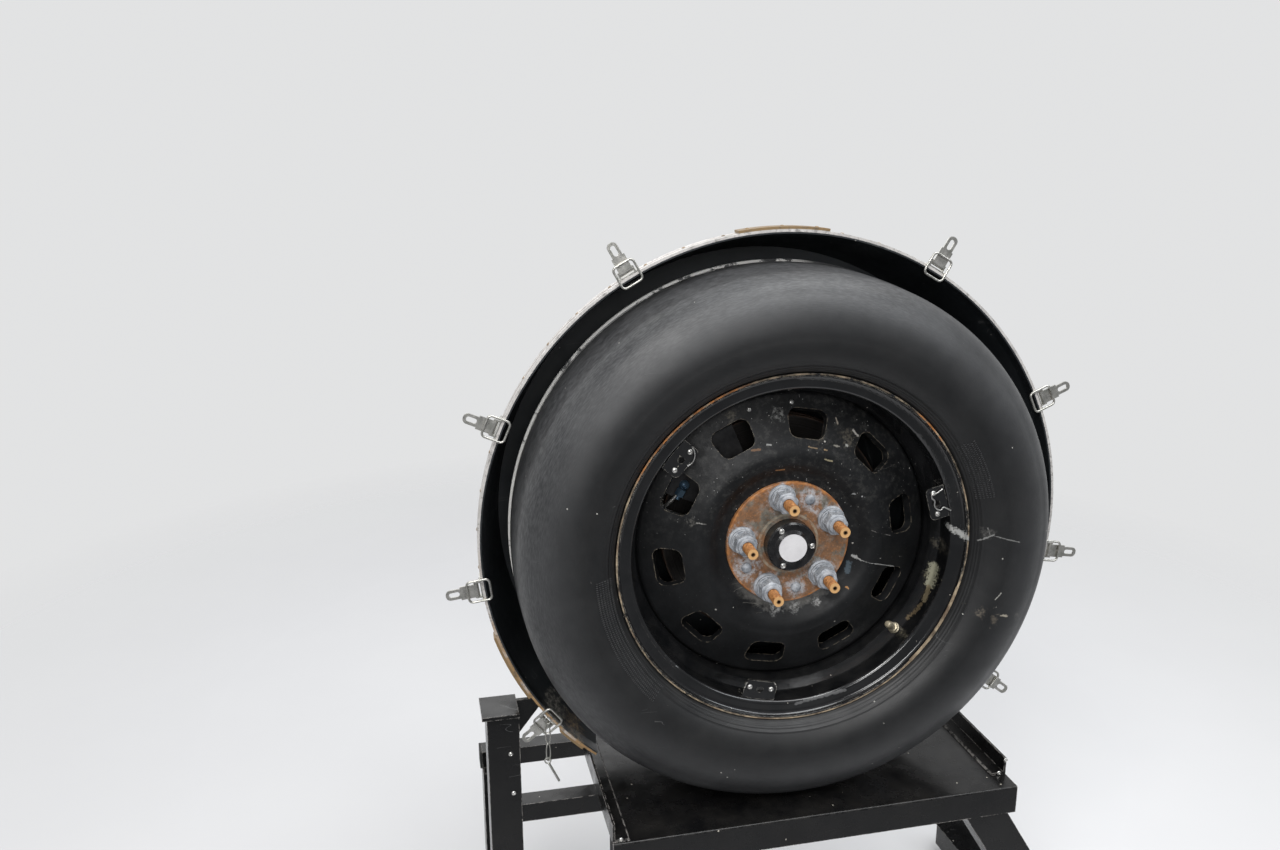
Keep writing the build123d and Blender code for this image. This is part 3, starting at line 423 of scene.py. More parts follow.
def rim_lip(f, radius, angle, depth):
    """Lay rust and bare metal along the front edge of the rim's flange, and return where it lies."""
    broad = f.between(angle, -0.125, -0.045, 0.02)
    on_edge = f.calc("GREATER_THAN", radius, f.mix(broad, 0.2186, 0.2172))
    tan = f.mottle((0.16, 0.11, 0.07), (0.5, 0.4, 0.27), 60.0, 5.0, 0.7, 0.38, 0.62)
    rusty = f.calc("ADD", f.between(angle, 0.31, 0.41, 0.02), f.between(angle, 0.105, 0.135, 0.01), True)
    tint = f.blend(f.times(rusty, f.cloud(90.0, 4.0, 0.55, 0.36, 0.56)), tan, (0.5, 0.19, 0.045))
    weaker = f.times(f.between(angle, 0.41, 0.5, 0.02), 0.8)
    strong = f.most(rusty, broad, f.between(angle, -0.29, -0.12, 0.04), weaker)
    chance = f.calc("ADD", f.cloud(42.0, 5.0, 0.72, 0.42, 0.6), f.times(strong, 0.5), True)
    bare = f.times(on_edge, f.fit(depth, 0.0022, 0.0012), chance)
    f.lay(bare, tint)
    return bare


def wheel_gloss():
    """Gloss black paint of the rim barrel and its brackets."""
    f = Finish("wheel_gloss", Coat_Roughness=0.06, Coat_Weight=0.55)
    f.colour = f.mottle((0.003, 0.0032, 0.0036), (0.0075, 0.0078, 0.0086), 20.0, 5.0, 0.6, 0.35, 0.7)
    f.dust(0.045, 40.0, (0.2, 0.185, 0.16))
    f.specks(150.0, 0.045, 0.1, (0.42, 0.39, 0.34))
    f.wear(0.0011, 200.0, 0.34, (0.34, 0.32, 0.28))
    patches = (
        ((191, 33, -56), 9, 0.6, (0.3, 0.28, 0.19)),
        ((197, 30, -14), 9, 0.35, (0.2, 0.18, 0.14)),
    )
    streaks = (
        ((194, 34, -43), (188, 32, -68), 4.6, 0.9, (0.34, 0.33, 0.24)),
        ((187, 30, -70), (180, 27, -88), 2.6, 0.8, (0.22, 0.18, 0.11)),
        ((178, 28, -92), (162, 34, -114), 1.8, 0.7, (0.16, 0.12, 0.07)),
        ((199, 12, 17), (219, 4, 5), 4.4, 0.8, (0.5, 0.5, 0.48)),
        ((190, 14, 22), (193, 14, 36), 0.9, 0.8, (0.4, 0.38, 0.33)),
        ((198, 12, -2), (193, 16, -34), 0.7, 0.7, (0.26, 0.23, 0.18)),
        # Painted highlight: a grey arc along the flange's inner fillet at the bottom.
        ((8, 8, -205), (72, 8, -192), 2.2, 0.4, (0.26, 0.26, 0.26)),
        ((-62, 8, -184), (-55, 8, -170), 1.0, 0.8, (0.5, 0.48, 0.44)),
        ((-16, 8, -184), (-22, 8, -171), 1.0, 0.8, (0.5, 0.48, 0.44)),
        ((-150, 8, 108), (-138, 8, 122), 0.7, 0.8, (0.42, 0.39, 0.33)),
    )
    f.marks(patches, streaks)
    bare = rim_lip(f, *f.ring())
    return f.done(f.mix(bare, f.spread(60.0, 0.1, 0.22), 0.7), f.grain(420.0, 0.7, 0.0003, 0.2))


def disc_black():
    """Satin black of the pressed disc: speckled and dusty above, a painted highlight below the plate, a few marks,
    and rubbed window edges.
    """
    f = Finish("disc_black", Specular_IOR_Level=0.28)
    radius, angle, _ = f.ring()
    f.colour = f.mottle((0.0042, 0.0045, 0.005), (0.0115, 0.012, 0.013), 22.0, 6.0, 0.65, 0.35, 0.7)
    upper = f.calc("SINE", f.times(angle, math.tau))
    high = f.fit(upper, -0.1, 0.7, 0.1, 1.0)
    f.lay(f.times(high, f.cloud(110.0, 7.0, 0.8, 0.5, 0.72), 0.42), (0.11, 0.108, 0.1))
    # Painted highlight: a pale band in the valley just below the plate, on the lower side only.
    painted_highlight_band = f.fit(f.calc("ADD", radius, f.spread(100.0, -0.006, 0.006, 5.0, 0.7)), 0.092, 0.081)
    f.lay(f.times(painted_highlight_band, f.fit(upper, -0.55, -0.95), 0.6), (0.27, 0.26, 0.24))
    f.lay(f.times(f.group(SPECKS, scale=260.0, share=0.2, size=0.13)[0], high), (0.34, 0.34, 0.33))
    f.specks(90.0, 0.05, 0.1, (0.5, 0.48, 0.44))
    f.scratches(24.0, 0.22, (0.2, 0.19, 0.17))
    f.wear(0.0016, 170.0, 0.36, (0.24, 0.205, 0.155))
    patches = (
        # The first three patches are painted highlight below the plate.
        ((-12, 42, -86), 10, 0.75, (0.46, 0.46, 0.45)),
        ((12, 42, -87), 8, 0.6, (0.4, 0.4, 0.39)),
        ((40, 42, -82), 6, 0.7, (0.42, 0.42, 0.41)),
        ((-14, 49, 161), 9, 0.5, (0.4, 0.4, 0.38)),
        ((-70, 50, 158), 9, 0.4, (0.3, 0.27, 0.21)),
        ((34, 44, 137), 12, 0.3, (0.24, 0.2, 0.14)),
        ((74, 44, 128), 12, 0.3, (0.24, 0.21, 0.16)),
        ((-124, 38, 36), 6, 0.4, (0.3, 0.29, 0.26)),
    )
    streaks = (
        ((-18.5, 36, 94.3), (-8.1, 37, 94.5), 1.1, 0.95, (0.42, 0.2, 0.08)),
        ((-31.1, 35, 127.5), (-26.4, 34, 127), 1.1, 0.8, (0.36, 0.36, 0.35)),
        ((-49.6, 35, 121.4), (-40, 34, 122.2), 1.5, 0.8, (0.2, 0.11, 0.06)),
        ((20.4, 32, 123), (30.4, 32, 120.3), 0.9, 0.9, (0.25, 0.18, 0.11)),
        ((53.6, 36, 122.2), (60.2, 36.5, 120.2), 1.2, 0.8, (0.3, 0.28, 0.24)),
        ((70, 39, 121.1), (72, 39, 119.5), 1.3, 0.9, (0.42, 0.41, 0.38)),
        ((40.3, 32, 118.6), (43.5, 32, 117.2), 1.0, 0.9, (0.36, 0.25, 0.14)),
        ((39.6, 27, 107.3), (49.2, 27.5, 104.2), 1.0, 0.8, (0.32, 0.28, 0.18)),
        ((79.3, 33, 59.6), (81.9, 32, 59.3), 1.2, 0.9, (0.35, 0.36, 0.36)),
        ((90.6, 27, 56.8), (92.9, 26, 55.7), 1.1, 0.9, (0.38, 0.38, 0.38)),
        ((105, 28, 11.6), (133, 36, 0.9), 0.6, 0.6, (0.2, 0.19, 0.18)),
        ((85.8, 41, -24.9), (89.8, 38, -25.8), 2.4, 0.9, (0.42, 0.42, 0.41)),
        ((89.8, 38, -25.8), (94.9, 33, -28.8), 1.1, 0.9, (0.38, 0.38, 0.37)),
        ((94.9, 33, -28.8), (116.1, 30, -34.1), 0.7, 0.85, (0.32, 0.32, 0.31)),
        ((116.1, 30, -34.1), (144, 44, -44.8), 0.7, 0.85, (0.3, 0.3, 0.29)),
        # Painted highlight: a pale blue-grey glint by the plate's lower right.
        ((81.9, 41.5, -34.1), (79.5, 39.3, -45.2), 3.4, 0.5, (0.1, 0.14, 0.17)),
        ((76.7, 33, -63.4), (78.8, 31.5, -64.2), 1.3, 0.9, (0.4, 0.2, 0.07)),
        ((81.7, 48, 136.8), (88, 47, 129.2), 1.6, 0.85, (0.42, 0.4, 0.37)),
        ((60, 50, 152.4), (61.8, 47.6, 145.5), 1.1, 0.8, (0.34, 0.3, 0.25)),
        ((-117, 31, 35.2), (-107, 26, 33.7), 1.2, 0.7, (0.32, 0.31, 0.29)),
        ((-150, 46, 70), (-118, 34, 62), 0.4, 0.5, (0.2, 0.19, 0.17)),
    )
    f.marks(patches, streaks, 0.15)
    return f.done(f.spread(120.0, 0.36, 0.58, 6.0, 0.7), f.grain(520.0, 0.6, 0.0004, 0.5))


def rusted_plate():
    """The hub plate: brown and grey mottled steel, an orange rim, and pale bloom about studs and bolts."""
    f = Finish("rusted_plate", Specular_IOR_Level=0.35)
    radius = f.ring()[0]
    f.colour = f.mottle((0.1, 0.09, 0.075), (0.26, 0.235, 0.19), 95.0, 6.0, 0.74, 0.36, 0.64)
    rust, tint = f.group(RUST, scale=42.0, amount=0.68)
    f.lay(f.times(rust, 0.85), f.blend(0.3, tint, (0.32, 0.17, 0.085)))
    about_cap = f.between(radius, 0.0362, 0.0384, 0.0008)
    f.lay(f.times(about_cap, f.cloud(120.0, 4.0, 0.7, 0.4, 0.6, 0.1, 0.8)), (0.42, 0.36, 0.27))
    rim = f.fit(f.calc("ADD", radius, f.spread(150.0, -0.0016, 0.0016)), 0.0742, 0.0768)
    f.lay(f.times(rim, 0.9), f.mottle((0.3, 0.12, 0.04), (0.56, 0.23, 0.065), 120.0, 4.0, 0.55, 0.4, 0.65))
    f.lay(f.times(f.fit(f.noise(55.0, 6.0, 0.75, 0.5), 0.52, 0.66), 0.45), (0.34, 0.32, 0.28))
    bloom = f.cloud(150.0, 5.0, 0.78, 0.38, 0.56)
    for turn, size in zip(STUD_ANGLES + BOLT_ANGLES, (21, 21, 21, 20, 21, 17, 20, 15)):
        patch = f.group(PATCH, centre=polar(STUD_CIRCLE, turn, PLATE_Y), size=size * MM, ragged=0.5)[0]
        f.lay(f.times(patch, bloom, 0.9), (0.46, 0.46, 0.475))
    metallic = f.fit(rust, 0.0, 1.0, 0.25, 0.0)
    return f.done(f.spread(150.0, 0.5, 0.8), f.grain(800.0, 0.55, 0.0009, 0.7), metallic)


def stud_brass():
    """Orange-brown studs with a paler end face about a painted dark spot, the painted shade of each drilled hole.
    """
    f = Finish("stud_brass")
    f.colour = f.mottle((0.2, 0.075, 0.022), (0.56, 0.26, 0.09), 260.0, 5.0, 0.7, 0.36, 0.64)
    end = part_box("wheel_studs")[0][1] - AXLE.y
    face = f.fit(f.ring()[2], end + 1.1 * MM, end + 0.5 * MM)
    f.lay(f.times(face, 0.8), (0.7, 0.42, 0.18))
    # Painted shade: a dark spot in the middle of each stud's end, for the shade inside its drilled hole.
    for turn in STUD_ANGLES:
        centre = polar(STUD_CIRCLE, turn, end / MM)
        f.lay(f.group(PATCH, centre=centre, size=3.4 * MM, ragged=0.0, depth=0.1)[0], (0.012, 0.008, 0.006))
    return f.done(0.5, f.grain(1300.0, 0.35, 0.0003, 0.4))


def tub_black():
    """Satin black paint on the tub, scuffed on the right and dusty below."""
    f = Finish("tub_black")
    f.colour = f.mottle((0.013, 0.015, 0.0175), (0.024, 0.028, 0.031), 14.0, 6.0, 0.6, 0.35, 0.7)
    patches = (
        ((115, 100, 349), 26, 0.3, (0.16, 0.17, 0.165)),
        ((-283, 90, -231), 24, 0.7, (0.34, 0.32, 0.28)),
        ((-262, 90, -262), 18, 0.6, (0.34, 0.24, 0.14)),
        ((-332, 82, 157), 3.4, 0.9, (0.42, 0.3, 0.17)),
    )
    streaks = (
        ((150, 95, 326), (176, 95, 308), 1.6, 0.5, (0.25, 0.26, 0.27)),
        ((163, 95, 320), (192, 95, 298), 1.1, 0.5, (0.28, 0.29, 0.3)),
        ((182, 95, 300), (206, 95, 280), 0.9, 0.45, (0.25, 0.26, 0.27)),
    )
    f.marks(patches, streaks)
    f.dust(0.06, 18.0, (0.17, 0.165, 0.155))
    f.specks(110.0, 0.03, 0.1, (0.42, 0.4, 0.36))
    f.scratches(14.0, 0.25, (0.12, 0.12, 0.12))
    return f.done(f.spread(40.0, 0.34, 0.5), f.grain(500.0, 0.7, 0.0004, 0.25))


def edge_aluminium():
    """The tub's pale edge strip with its dark seam, stained gold at the lower left, and its tan doublers."""
    f = Finish("edge_aluminium")
    radius, angle, depth = f.ring()
    f.colour = f.mottle((0.6, 0.575, 0.55), (0.82, 0.79, 0.76), 60.0, 5.0, 0.7, 0.35, 0.66)
    lower_left = f.fit(f.calc("ABSOLUTE", f.calc("ADD", angle, 0.39)), 0.12, 0.04)
    stain = f.times(lower_left, f.cloud(34.0, 5.0, 0.7, 0.36, 0.52))
    doubler = f.fit(radius, 0.3787, 0.3789)
    grime = f.times(f.cloud(150.0, 5.0, 0.7, 0.53, 0.66), 0.6)
    seam = f.times(f.between(depth, 0.0862, 0.0874, 0.0006), f.calc("SUBTRACT", 1.0, doubler))
    f.lay(stain, (0.42, 0.26, 0.12))
    f.lay(doubler, (0.3, 0.2, 0.1))
    f.lay(grime, (0.1, 0.09, 0.08))
    f.lay(seam, (0.15, 0.09, 0.06))
    dull = f.most(stain, grime, seam, f.times(doubler, 0.5))
    metallic = f.fit(dull, 0.0, 1.0, 0.35, 0.1)
    return f.done(f.spread(110.0, 0.3, 0.52), f.grain(900.0, 0.5, 0.0004, 0.4), metallic)


def stand_black():
    """Gloss black paint on the stand's steel, dusty on top and worn at its corners."""
    f = Finish("stand_black", Specular_IOR_Level=0.35)
    f.colour = f.mottle((0.003, 0.003, 0.0033), (0.0065, 0.0065, 0.007), 10.0, 5.0, 0.6, 0.35, 0.7)
    f.dust(0.05, 22.0, (0.22, 0.2, 0.17))
    f.specks(90.0, 0.1, 0.1, (0.45, 0.42, 0.36))
    f.scratches(12.0, 0.3, (0.1, 0.1, 0.1))
    f.wear(0.0016, 120.0, 0.4, (0.33, 0.31, 0.29))
    return f.done(f.spread(35.0, 0.16, 0.34, 5.0), f.grain(300.0, 0.7, 0.0005, 0.25))


def rotor_iron():
    """Turned iron, bright where the pads run, rusted elsewhere."""
    f = Finish("rotor_iron")
    radius = f.ring()[0]
    rings = f.fit(f.noise(900.0, vector=f.combine(radius)), 0.3, 0.7)
    swept = f.times(f.between(radius, 0.104, 0.1455, 0.002), 0.85)
    rust, tint = f.group(RUST, scale=45.0, amount=0.85)
    turned = f.blend(rings, (0.03, 0.029, 0.028), (0.1, 0.097, 0.094))
    crust = f.blend(0.86, tint, (0.008, 0.006, 0.005))
    f.colour = f.blend(swept, f.blend(rust, turned, crust), turned)
    roughness = f.fit(swept, 0.0, 0.85, 0.75, 0.34)
    return f.done(roughness, f.bump(rings, 0.0002, 0.4), f.fit(swept, 0.0, 0.85, 0.25, 0.95))


def worn_metal(name, dark, light, metallic, roughness, grime, rusted=0.0, grooves=()):
    """Bare or plated metal: two tones, grime, a little rust and bright corners, dark in its grooves."""
    f = Finish(name)
    f.colour = f.mottle(dark, light, 130.0, 5.0, 0.7, 0.36, 0.66)
    f.lay(f.times(f.cloud(260.0, 5.0, 0.7, 0.52, 0.68), grime), (0.03, 0.027, 0.024))
    depth = f.ring()[2] if grooves else None
    for groove in grooves:
        shade = f.between(depth, (groove - 0.3) * MM, (groove + 0.3) * MM, 0.0004)
        f.lay(f.times(shade, 0.75), (0.05, 0.05, 0.052))
    f.wear(0.0007, 500.0, 0.35, tuple(min(1.0, channel * 1.35 + 0.05) for channel in light), 0.7)
    rust, tint = f.group(RUST, scale=110.0, amount=rusted)
    f.lay(rust, tint)
    bare = f.times(f.calc("SUBTRACT", 1.0, rust), metallic)
    return f.done(f.mix(rust, f.spread(190.0, *roughness), 0.8), f.grain(1300.0, 0.35, 0.0003, 0.4), bare)


def plain_plastic(name, dark, light, roughness, wear):
    """Moulded plastic or rubber with a fine grain, a little dust and rubbed corners."""
    f = Finish(name)
    f.colour = f.mottle(dark, light, 60.0, 5.0, 0.65, 0.35, 0.68)
    f.dust(0.12, 60.0, (0.3, 0.28, 0.25))
    f.wear(0.0007, 400.0, wear, tuple(min(1.0, channel * 2 + 0.05) for channel in light))
    return f.done(f.spread(90.0, *roughness), f.grain(1400.0, 0.3, 0.0002, 0.3))


# Metals: dark and light colour, metallic, roughness from and to, grime, rust, depths of grooves
METALS = {
    "nut_zinc": ((0.2, 0.22, 0.25), (0.6, 0.62, 0.65), 0.15, (0.45, 0.65), 0.6, 0.06, NUT_GROOVES),
    "bright_steel": ((0.5, 0.49, 0.46), (0.78, 0.77, 0.75), 0.9, (0.2, 0.36), 0.3, 0.06),
    "latch_steel": ((0.42, 0.42, 0.38), (0.74, 0.72, 0.68), 0.85, (0.24, 0.42), 0.5, 0.2),
    "valve_brass": ((0.3, 0.25, 0.16), (0.66, 0.6, 0.46), 0.8, (0.3, 0.46), 0.6),
    "bare_steel": ((0.24, 0.235, 0.23), (0.42, 0.41, 0.4), 0.8, (0.35, 0.5), 0.4, 0.15),
    "fitting_blue": ((0.04, 0.08, 0.13), (0.14, 0.22, 0.3), 0.6, (0.28, 0.42), 0.3),
}
# Plastics and rubbers: dark and light colour, roughness from and to, wear
PLASTICS = {
    "hatch_rubber": ((0.01, 0.01, 0.011), (0.024, 0.0245, 0.026), (0.34, 0.46), 0.5),
    "cap_black": ((0.005, 0.005, 0.006), (0.012, 0.012, 0.013), (0.12, 0.26), 0.35),
    "badge_white": ((0.68, 0.67, 0.68), (0.8, 0.79, 0.8), (0.3, 0.45), 0.0),
    "caliper_black": ((0.012, 0.012, 0.013), (0.03, 0.03, 0.032), (0.3, 0.45), 0.45),
    "pad_lining": ((0.05, 0.045, 0.04), (0.1, 0.085, 0.07), (0.8, 0.9), 0.1),
    "foot_rubber": ((0.012, 0.012, 0.012), (0.024, 0.024, 0.024), (0.6, 0.8), 0.3),
}
OWN = (
    tyre_rubber,
    wheel_gloss,
    disc_black,
    rusted_plate,
    stud_brass,
    tub_black,
    edge_aluminium,
    stand_black,
    rotor_iron,
)
FINISH = {make.__name__: make() for make in OWN}
FINISH.update({name: worn_metal(name, *values) for name, values in METALS.items()})
FINISH.update({name: plain_plastic(name, *values) for name, values in PLASTICS.items()})
# Nodes and slots whose finish has another name than the slot
NODE_FINISH = {
    "wheel_disc": "disc_black",
    "latch_bases": "latch_steel",
    "latch_levers": "latch_steel",
    "latch_bails": "latch_steel",
}
SLOT_FINISH = {"wheel_black": "wheel_gloss"}


def paint_cad_nodes():
    """Give every CAD node the finish of its slot, or its own."""
    for part in frame["record"]["subparts"]:
        slot = part["material_slot"]
        name = NODE_FINISH.get(part["node"], SLOT_FINISH.get(slot, slot))
        obj = frame["nodes"][part["node"]]
        if not obj.material_slots:
            obj.data.materials.append(None)
        for holder in obj.material_slots:
            holder.link = "OBJECT"
            holder.material = FINISH[name]


# Mesh helpers


def shown(name, data):
    """A new object in the scene."""
    obj = bpy.data.objects.new(name, data)
    bpy.context.scene.collection.objects.link(obj)
    return obj


def smoothed(mesh, sharp=35):
    """Shade a mesh smooth but for its sharp edges."""
    mesh.shade_smooth()
    mesh.set_sharp_from_angle(angle=math.radians(sharp))
    return mesh


def link(name, mesh, finish, body, sharp=35):
    """Put a mesh in the scene as a finished piece on a body."""
    obj = shown(name, smoothed(mesh, sharp))
    mesh.materials.clear()
    mesh.materials.append(FINISH[finish])
    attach(obj, body)
    return obj


def mesh_of(bm, name):
    """A mesh from a bmesh, its doubles merged and its faces turned outwards."""
    bmesh.ops.remove_doubles(bm, verts=bm.verts, dist=1e-6)
    bmesh.ops.recalc_face_normals(bm, faces=bm.faces)
    mesh = bpy.data.meshes.new(name)
    bm.to_mesh(mesh)
    bm.free()
    return mesh


def skin(bm, rows):
    """Faces from each closed row of points to the next."""
    count = len(rows[0])
    for a, b in zip(rows, rows[1:]):
        for j in range(count):
            k = (j + 1) % count
            bm.faces.new((a[j], a[k], b[k], b[j]))


def lathe(profile, steps, name, shape=None):
    """Turn a closed profile of (radius, y) about Y. shape(angle, radius, index) may change a radius."""
    bm = bmesh.new()
    rows = []
    for i in range(steps):
        turn = math.tau * i / steps
        row = []
        for j, (radius, y) in enumerate(profile):
            r = shape(turn, radius, j) if shape else radius
            row.append(bm.verts.new((r * math.cos(turn) * MM, y * MM, r * math.sin(turn) * MM)))
        rows.append(row)
    skin(bm, rows + rows[:1])
    bmesh.ops.dissolve_degenerate(bm, edges=bm.edges, dist=1e-7)
    return mesh_of(bm, name)


def hexed(across_flats, index_from, index_to):
    """A shape for lathe that cuts some rows of a profile to a hexagon."""

    def shape(turn, radius, index):
        if not index_from <= index <= index_to:
            return radius
        off = (turn + math.pi / 6) % (math.pi / 3) - math.pi / 6
        return min(radius, across_flats / 2 / math.cos(off))

    return shape


def moved(mesh, matrix):
    mesh.transform(matrix)
    mesh.update()
    return mesh


def joined(name, meshes):
    """Several meshes as one."""
    bm = bmesh.new()
    for mesh in meshes:
        bm.from_mesh(mesh)
    whole = bpy.data.meshes.new(name)
    bm.to_mesh(whole)
    bm.free()
    return whole


def arc_through(a, b, c, steps):
    """Points on the circle through three points, from the first to the last."""
    (ax, ay), (bx, by), (cx, cy) = a, b, c
    d = 2 * (ax * (by - cy) + bx * (cy - ay) + cx * (ay - by))
    ux = ((ax**2 + ay**2) * (by - cy) + (bx**2 + by**2) * (cy - ay) + (cx**2 + cy**2) * (ay - by)) / d
    uy = ((ax**2 + ay**2) * (cx - bx) + (bx**2 + by**2) * (ax - cx) + (cx**2 + cy**2) * (bx - ax)) / d
    start = math.atan2(ay - uy, ax - ux)
    sweep = (math.atan2(cy - uy, cx - ux) - start) % math.tau
    if (math.atan2(by - uy, bx - ux) - start) % math.tau > sweep:
        sweep -= math.tau
    size = math.hypot(ax - ux, ay - uy)
    turns = [start + sweep * i / steps for i in range(steps + 1)]
    return [(ux + size * math.cos(t), uy + size * math.sin(t)) for t in turns]


def plain_mesh(host):
    """What an object evaluates to, as a plain mesh in the object's place."""
    graph = bpy.context.evaluated_depsgraph_get()
    graph.update()
    mesh = bpy.data.meshes.new_from_object(host.evaluated_get(graph), depsgraph=graph)
    bpy.data.objects.remove(host)
    return mesh


def wire(name, points, radius, closed=False):
    """A round wire along points in metres, as a mesh."""
    curve = bpy.data.curves.new(name, "CURVE")
    curve.dimensions = "3D"
    curve.bevel_depth = radius * MM
    curve.bevel_resolution = 3
    curve.use_fill_caps = True
    curve.resolution_u = 6
    spline = curve.splines.new("NURBS")
    spline.points.add(len(points) - 1)
    for point, place in zip(spline.points, points):
        point.co = (*place, 1)
    spline.use_cyclic_u = closed
    spline.order_u = 3
    spline.use_endpoint_u = not closed
    bm = bmesh.new()
    bm.from_mesh(plain_mesh(shown(name, curve)))
    return mesh_of(bm, name)


# Geometry Nodes: a ring of parts about the axle, and a row of parts along a line


def geometry_tree(name, inputs):
    """A Geometry Nodes tree with a part, a material and more named inputs: the tree, nodes and inputs."""
    tree = bpy.data.node_groups.new(name, "GeometryNodeTree")
    for label, kind in {"Part": "Object", "Material": "Material", **inputs}.items():
        tree.interface.new_socket(label, in_out="INPUT", socket_type="NodeSocket" + kind)
    tree.interface.new_socket("Geometry", in_out="OUTPUT", socket_type="NodeSocketGeometry")
    return tree, Nodes(tree), tree.nodes.new("NodeGroupInput").outputs


def finish_tree(n, source, points, turn):
    """Set the part on the points, realise the copies and give them their material."""
    part = n.add("GeometryNodeObjectInfo", {"Object": source["Part"]}, out=4)
    rotation = n.add("FunctionNodeEulerToRotation", {0: turn})
    copies = n.add("GeometryNodeInstanceOnPoints", {"Points": points, "Instance": part, "Rotation": rotation})
    real = n.add("GeometryNodeRealizeInstances", {0: copies})
    done = n.add("GeometryNodeSetMaterial", {"Geometry": real, "Material": source["Material"]})
    n.feed(n.tree.nodes.new("NodeGroupOutput").inputs[0], done)


def make_ring_tree():
    """Parts on a circle about the axle, each with its own X pointing outwards."""
    inputs = {"Centre": "Vector", "Count": "Int", "Radius": "Float", "Start": "Float", "Step": "Float"}
    tree, n, source = geometry_tree("ring_of_parts", inputs)
    angle = n.calc("ADD", n.times(n.add("GeometryNodeInputIndex"), source["Step"]), source["Start"])
    x = n.times(n.calc("COSINE", angle), source["Radius"])
    z = n.times(n.calc("SINE", angle), source["Radius"])
    place = n.vector("ADD", n.combine(x, 0.0, z), source["Centre"])
    points = n.add("GeometryNodePoints", {"Count": source["Count"], "Position": place})
    finish_tree(n, source, points, n.combine(0.0, n.times(angle, -1.0)))
    return tree


def make_row_tree():
    """Parts along a straight line, all turned the same way."""
    inputs = {"Start": "Vector", "End": "Vector", "Count": "Int", "Turn": "Vector"}
    tree, n, source = geometry_tree("row_of_parts", inputs)
    ends = {"Count": source["Count"], "Start Location": source["Start"], "Offset": source["End"]}
    finish_tree(n, source, n.add("GeometryNodeMeshLine", ends, mode="END_POINTS"), source["Turn"])
    return tree


RING_TREE = make_ring_tree()
ROW_TREE = make_row_tree()


def grown(tree, part_mesh, finish, **values):
    """Run a tree on a part and return the plain mesh."""
    part = shown("part", smoothed(part_mesh))
    host = shown("host", bpy.data.meshes.new("host"))
    modifier = host.modifiers.new("grow", "NODES")
    modifier.node_group = tree
    values.update(part=part, material=FINISH[finish])
    for item in tree.interface.items_tree:
        if item.in_out == "INPUT":
            modifier[item.identifier] = values[item.name.lower()]
    mesh = plain_mesh(host)
    bpy.data.objects.remove(part)
    return mesh


def ring_of(part_mesh, finish, count, radius, y, start, step):
    """A ring of parts about the axle, at a radius and depth in mm and angles in degrees."""
    turns = {"start": math.radians(start), "step": math.radians(step)}
    return grown(RING_TREE, part_mesh, finish, centre=at(0, y, 0), count=count, radius=radius * MM, **turns)


def parts_at(part_mesh, finish, radius, y, angles):
    """Copies of a part at uneven angles, as one mesh."""
    return joined("parts", [ring_of(part_mesh.copy(), finish, 1, radius, y, angle, 0) for angle in angles])


# The tyre

TYRE_R = 338.0
RIM_WIDTH = 165.0
# The outer wall's points as (share of its height, y), before its bulge
WALL = ((0.144, 7.5), (0.381, 0.0), (0.602, 2.3), (0.797, 14.0), (0.928, 28.5), (0.979, 52.5))
BULGE = 22.5
# The rim's curled edge, on which the bead sits
CURL_CENTRE = (211.5, 1.0)
CURL_R = 9.3
CURL_TURN = math.radians(25)
# Raised rings of the mould, as (radius, half width, height)
MOULD_RINGS = ((223.8, 0.6, 0.5), (226.2, 0.6, 0.5), (228.6, 0.6, 0.5), (232.0, 1.2, 0.9))
# The worn ridge at the tread's inboard edge, and the inside of the casing, as (radius, y)
TREAD_RIDGE = [(338.9, 129.6), (338.8, 133.8)]
BEAD = [(211.5, 10.3), (204.8, 10.3), (203.3, 11.8), (203.3, 24.3), (221.0, 20.0)]
CASING = BEAD + [(250.0, -8.0), (272.0, -13.0), (310.0, 2.0), (325.0, 38.0)]
# The hatching's rows, its arcs as (start, sweep), its pitch along a row, and one dash's size
HATCH_RADII = (229.0, 232.5, 236.0, 239.5, 243.0, 246.5)
HATCH_ARCS = ((183.0, 41.0), (15.0, 19.0))
HATCH_PITCH = 2.6
DASH = (2.5, 2.0, 1.3)


def sidewall():
    """The outer wall from the bead to the tread, as (radius, y)."""
    x, y = CURL_CENTRE
    first = (x + CURL_R * math.cos(CURL_TURN), y + CURL_R * math.sin(CURL_TURN))
    height = TYRE_R - first[0]
    points = [first] + [(TYRE_R - height * (1 - share), depth - BULGE) for share, depth in WALL]
    line = []
    for i, steps in ((0, 26), (2, 14), (4, 14)):
        line += arc_through(*points[i : i + 3], steps)[:-1]
    return line + [points[-1]]


SIDEWALL = sidewall()


def wall_depth(radius):
    """The y of the outer wall at a radius."""
    for (r0, y0), (r1, y1) in zip(SIDEWALL, SIDEWALL[1:]):
        if r0 <= radius <= r1:
            return y0 + (y1 - y0) * (radius - r0) / (r1 - r0)
    return SIDEWALL[-1][1]


def tyre_profile():
    """The tyre's closed section, with the mould's rings on its outer wall and the tread's ridge."""
    radii = {r for r, _ in SIDEWALL}
    radii |= {centre + side * half for centre, half, _ in MOULD_RINGS for side in (-2, -1, 0, 1, 2)}
    outer = []
    for radius in sorted(radii):
        lift = sum(h * max(0.0, 1 - abs(radius - c) / (1.6 * w)) for c, w, h in MOULD_RINGS)
        outer.append((radius, wall_depth(radius) - lift))
    edge = SIDEWALL[-1]
    crown = arc_through(edge, (TYRE_R, RIM_WIDTH / 2), (edge[0], RIM_WIDTH - edge[1]), 16)[1:-1]
    back, far = ([(r, RIM_WIDTH - y) for r, y in side] for side in (SIDEWALL[::-1], CASING))
    return outer + crown + TREAD_RIDGE + back + far + CASING[::-1]


def build_tyre():
    mesh = moved(lathe(tyre_profile(), 320, "tyre_slick"), Matrix.Translation(AXLE))
    tyre = link("tyre_slick", mesh, "tyre_rubber", "wheel", 28)
    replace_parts(tyre, "tyre")


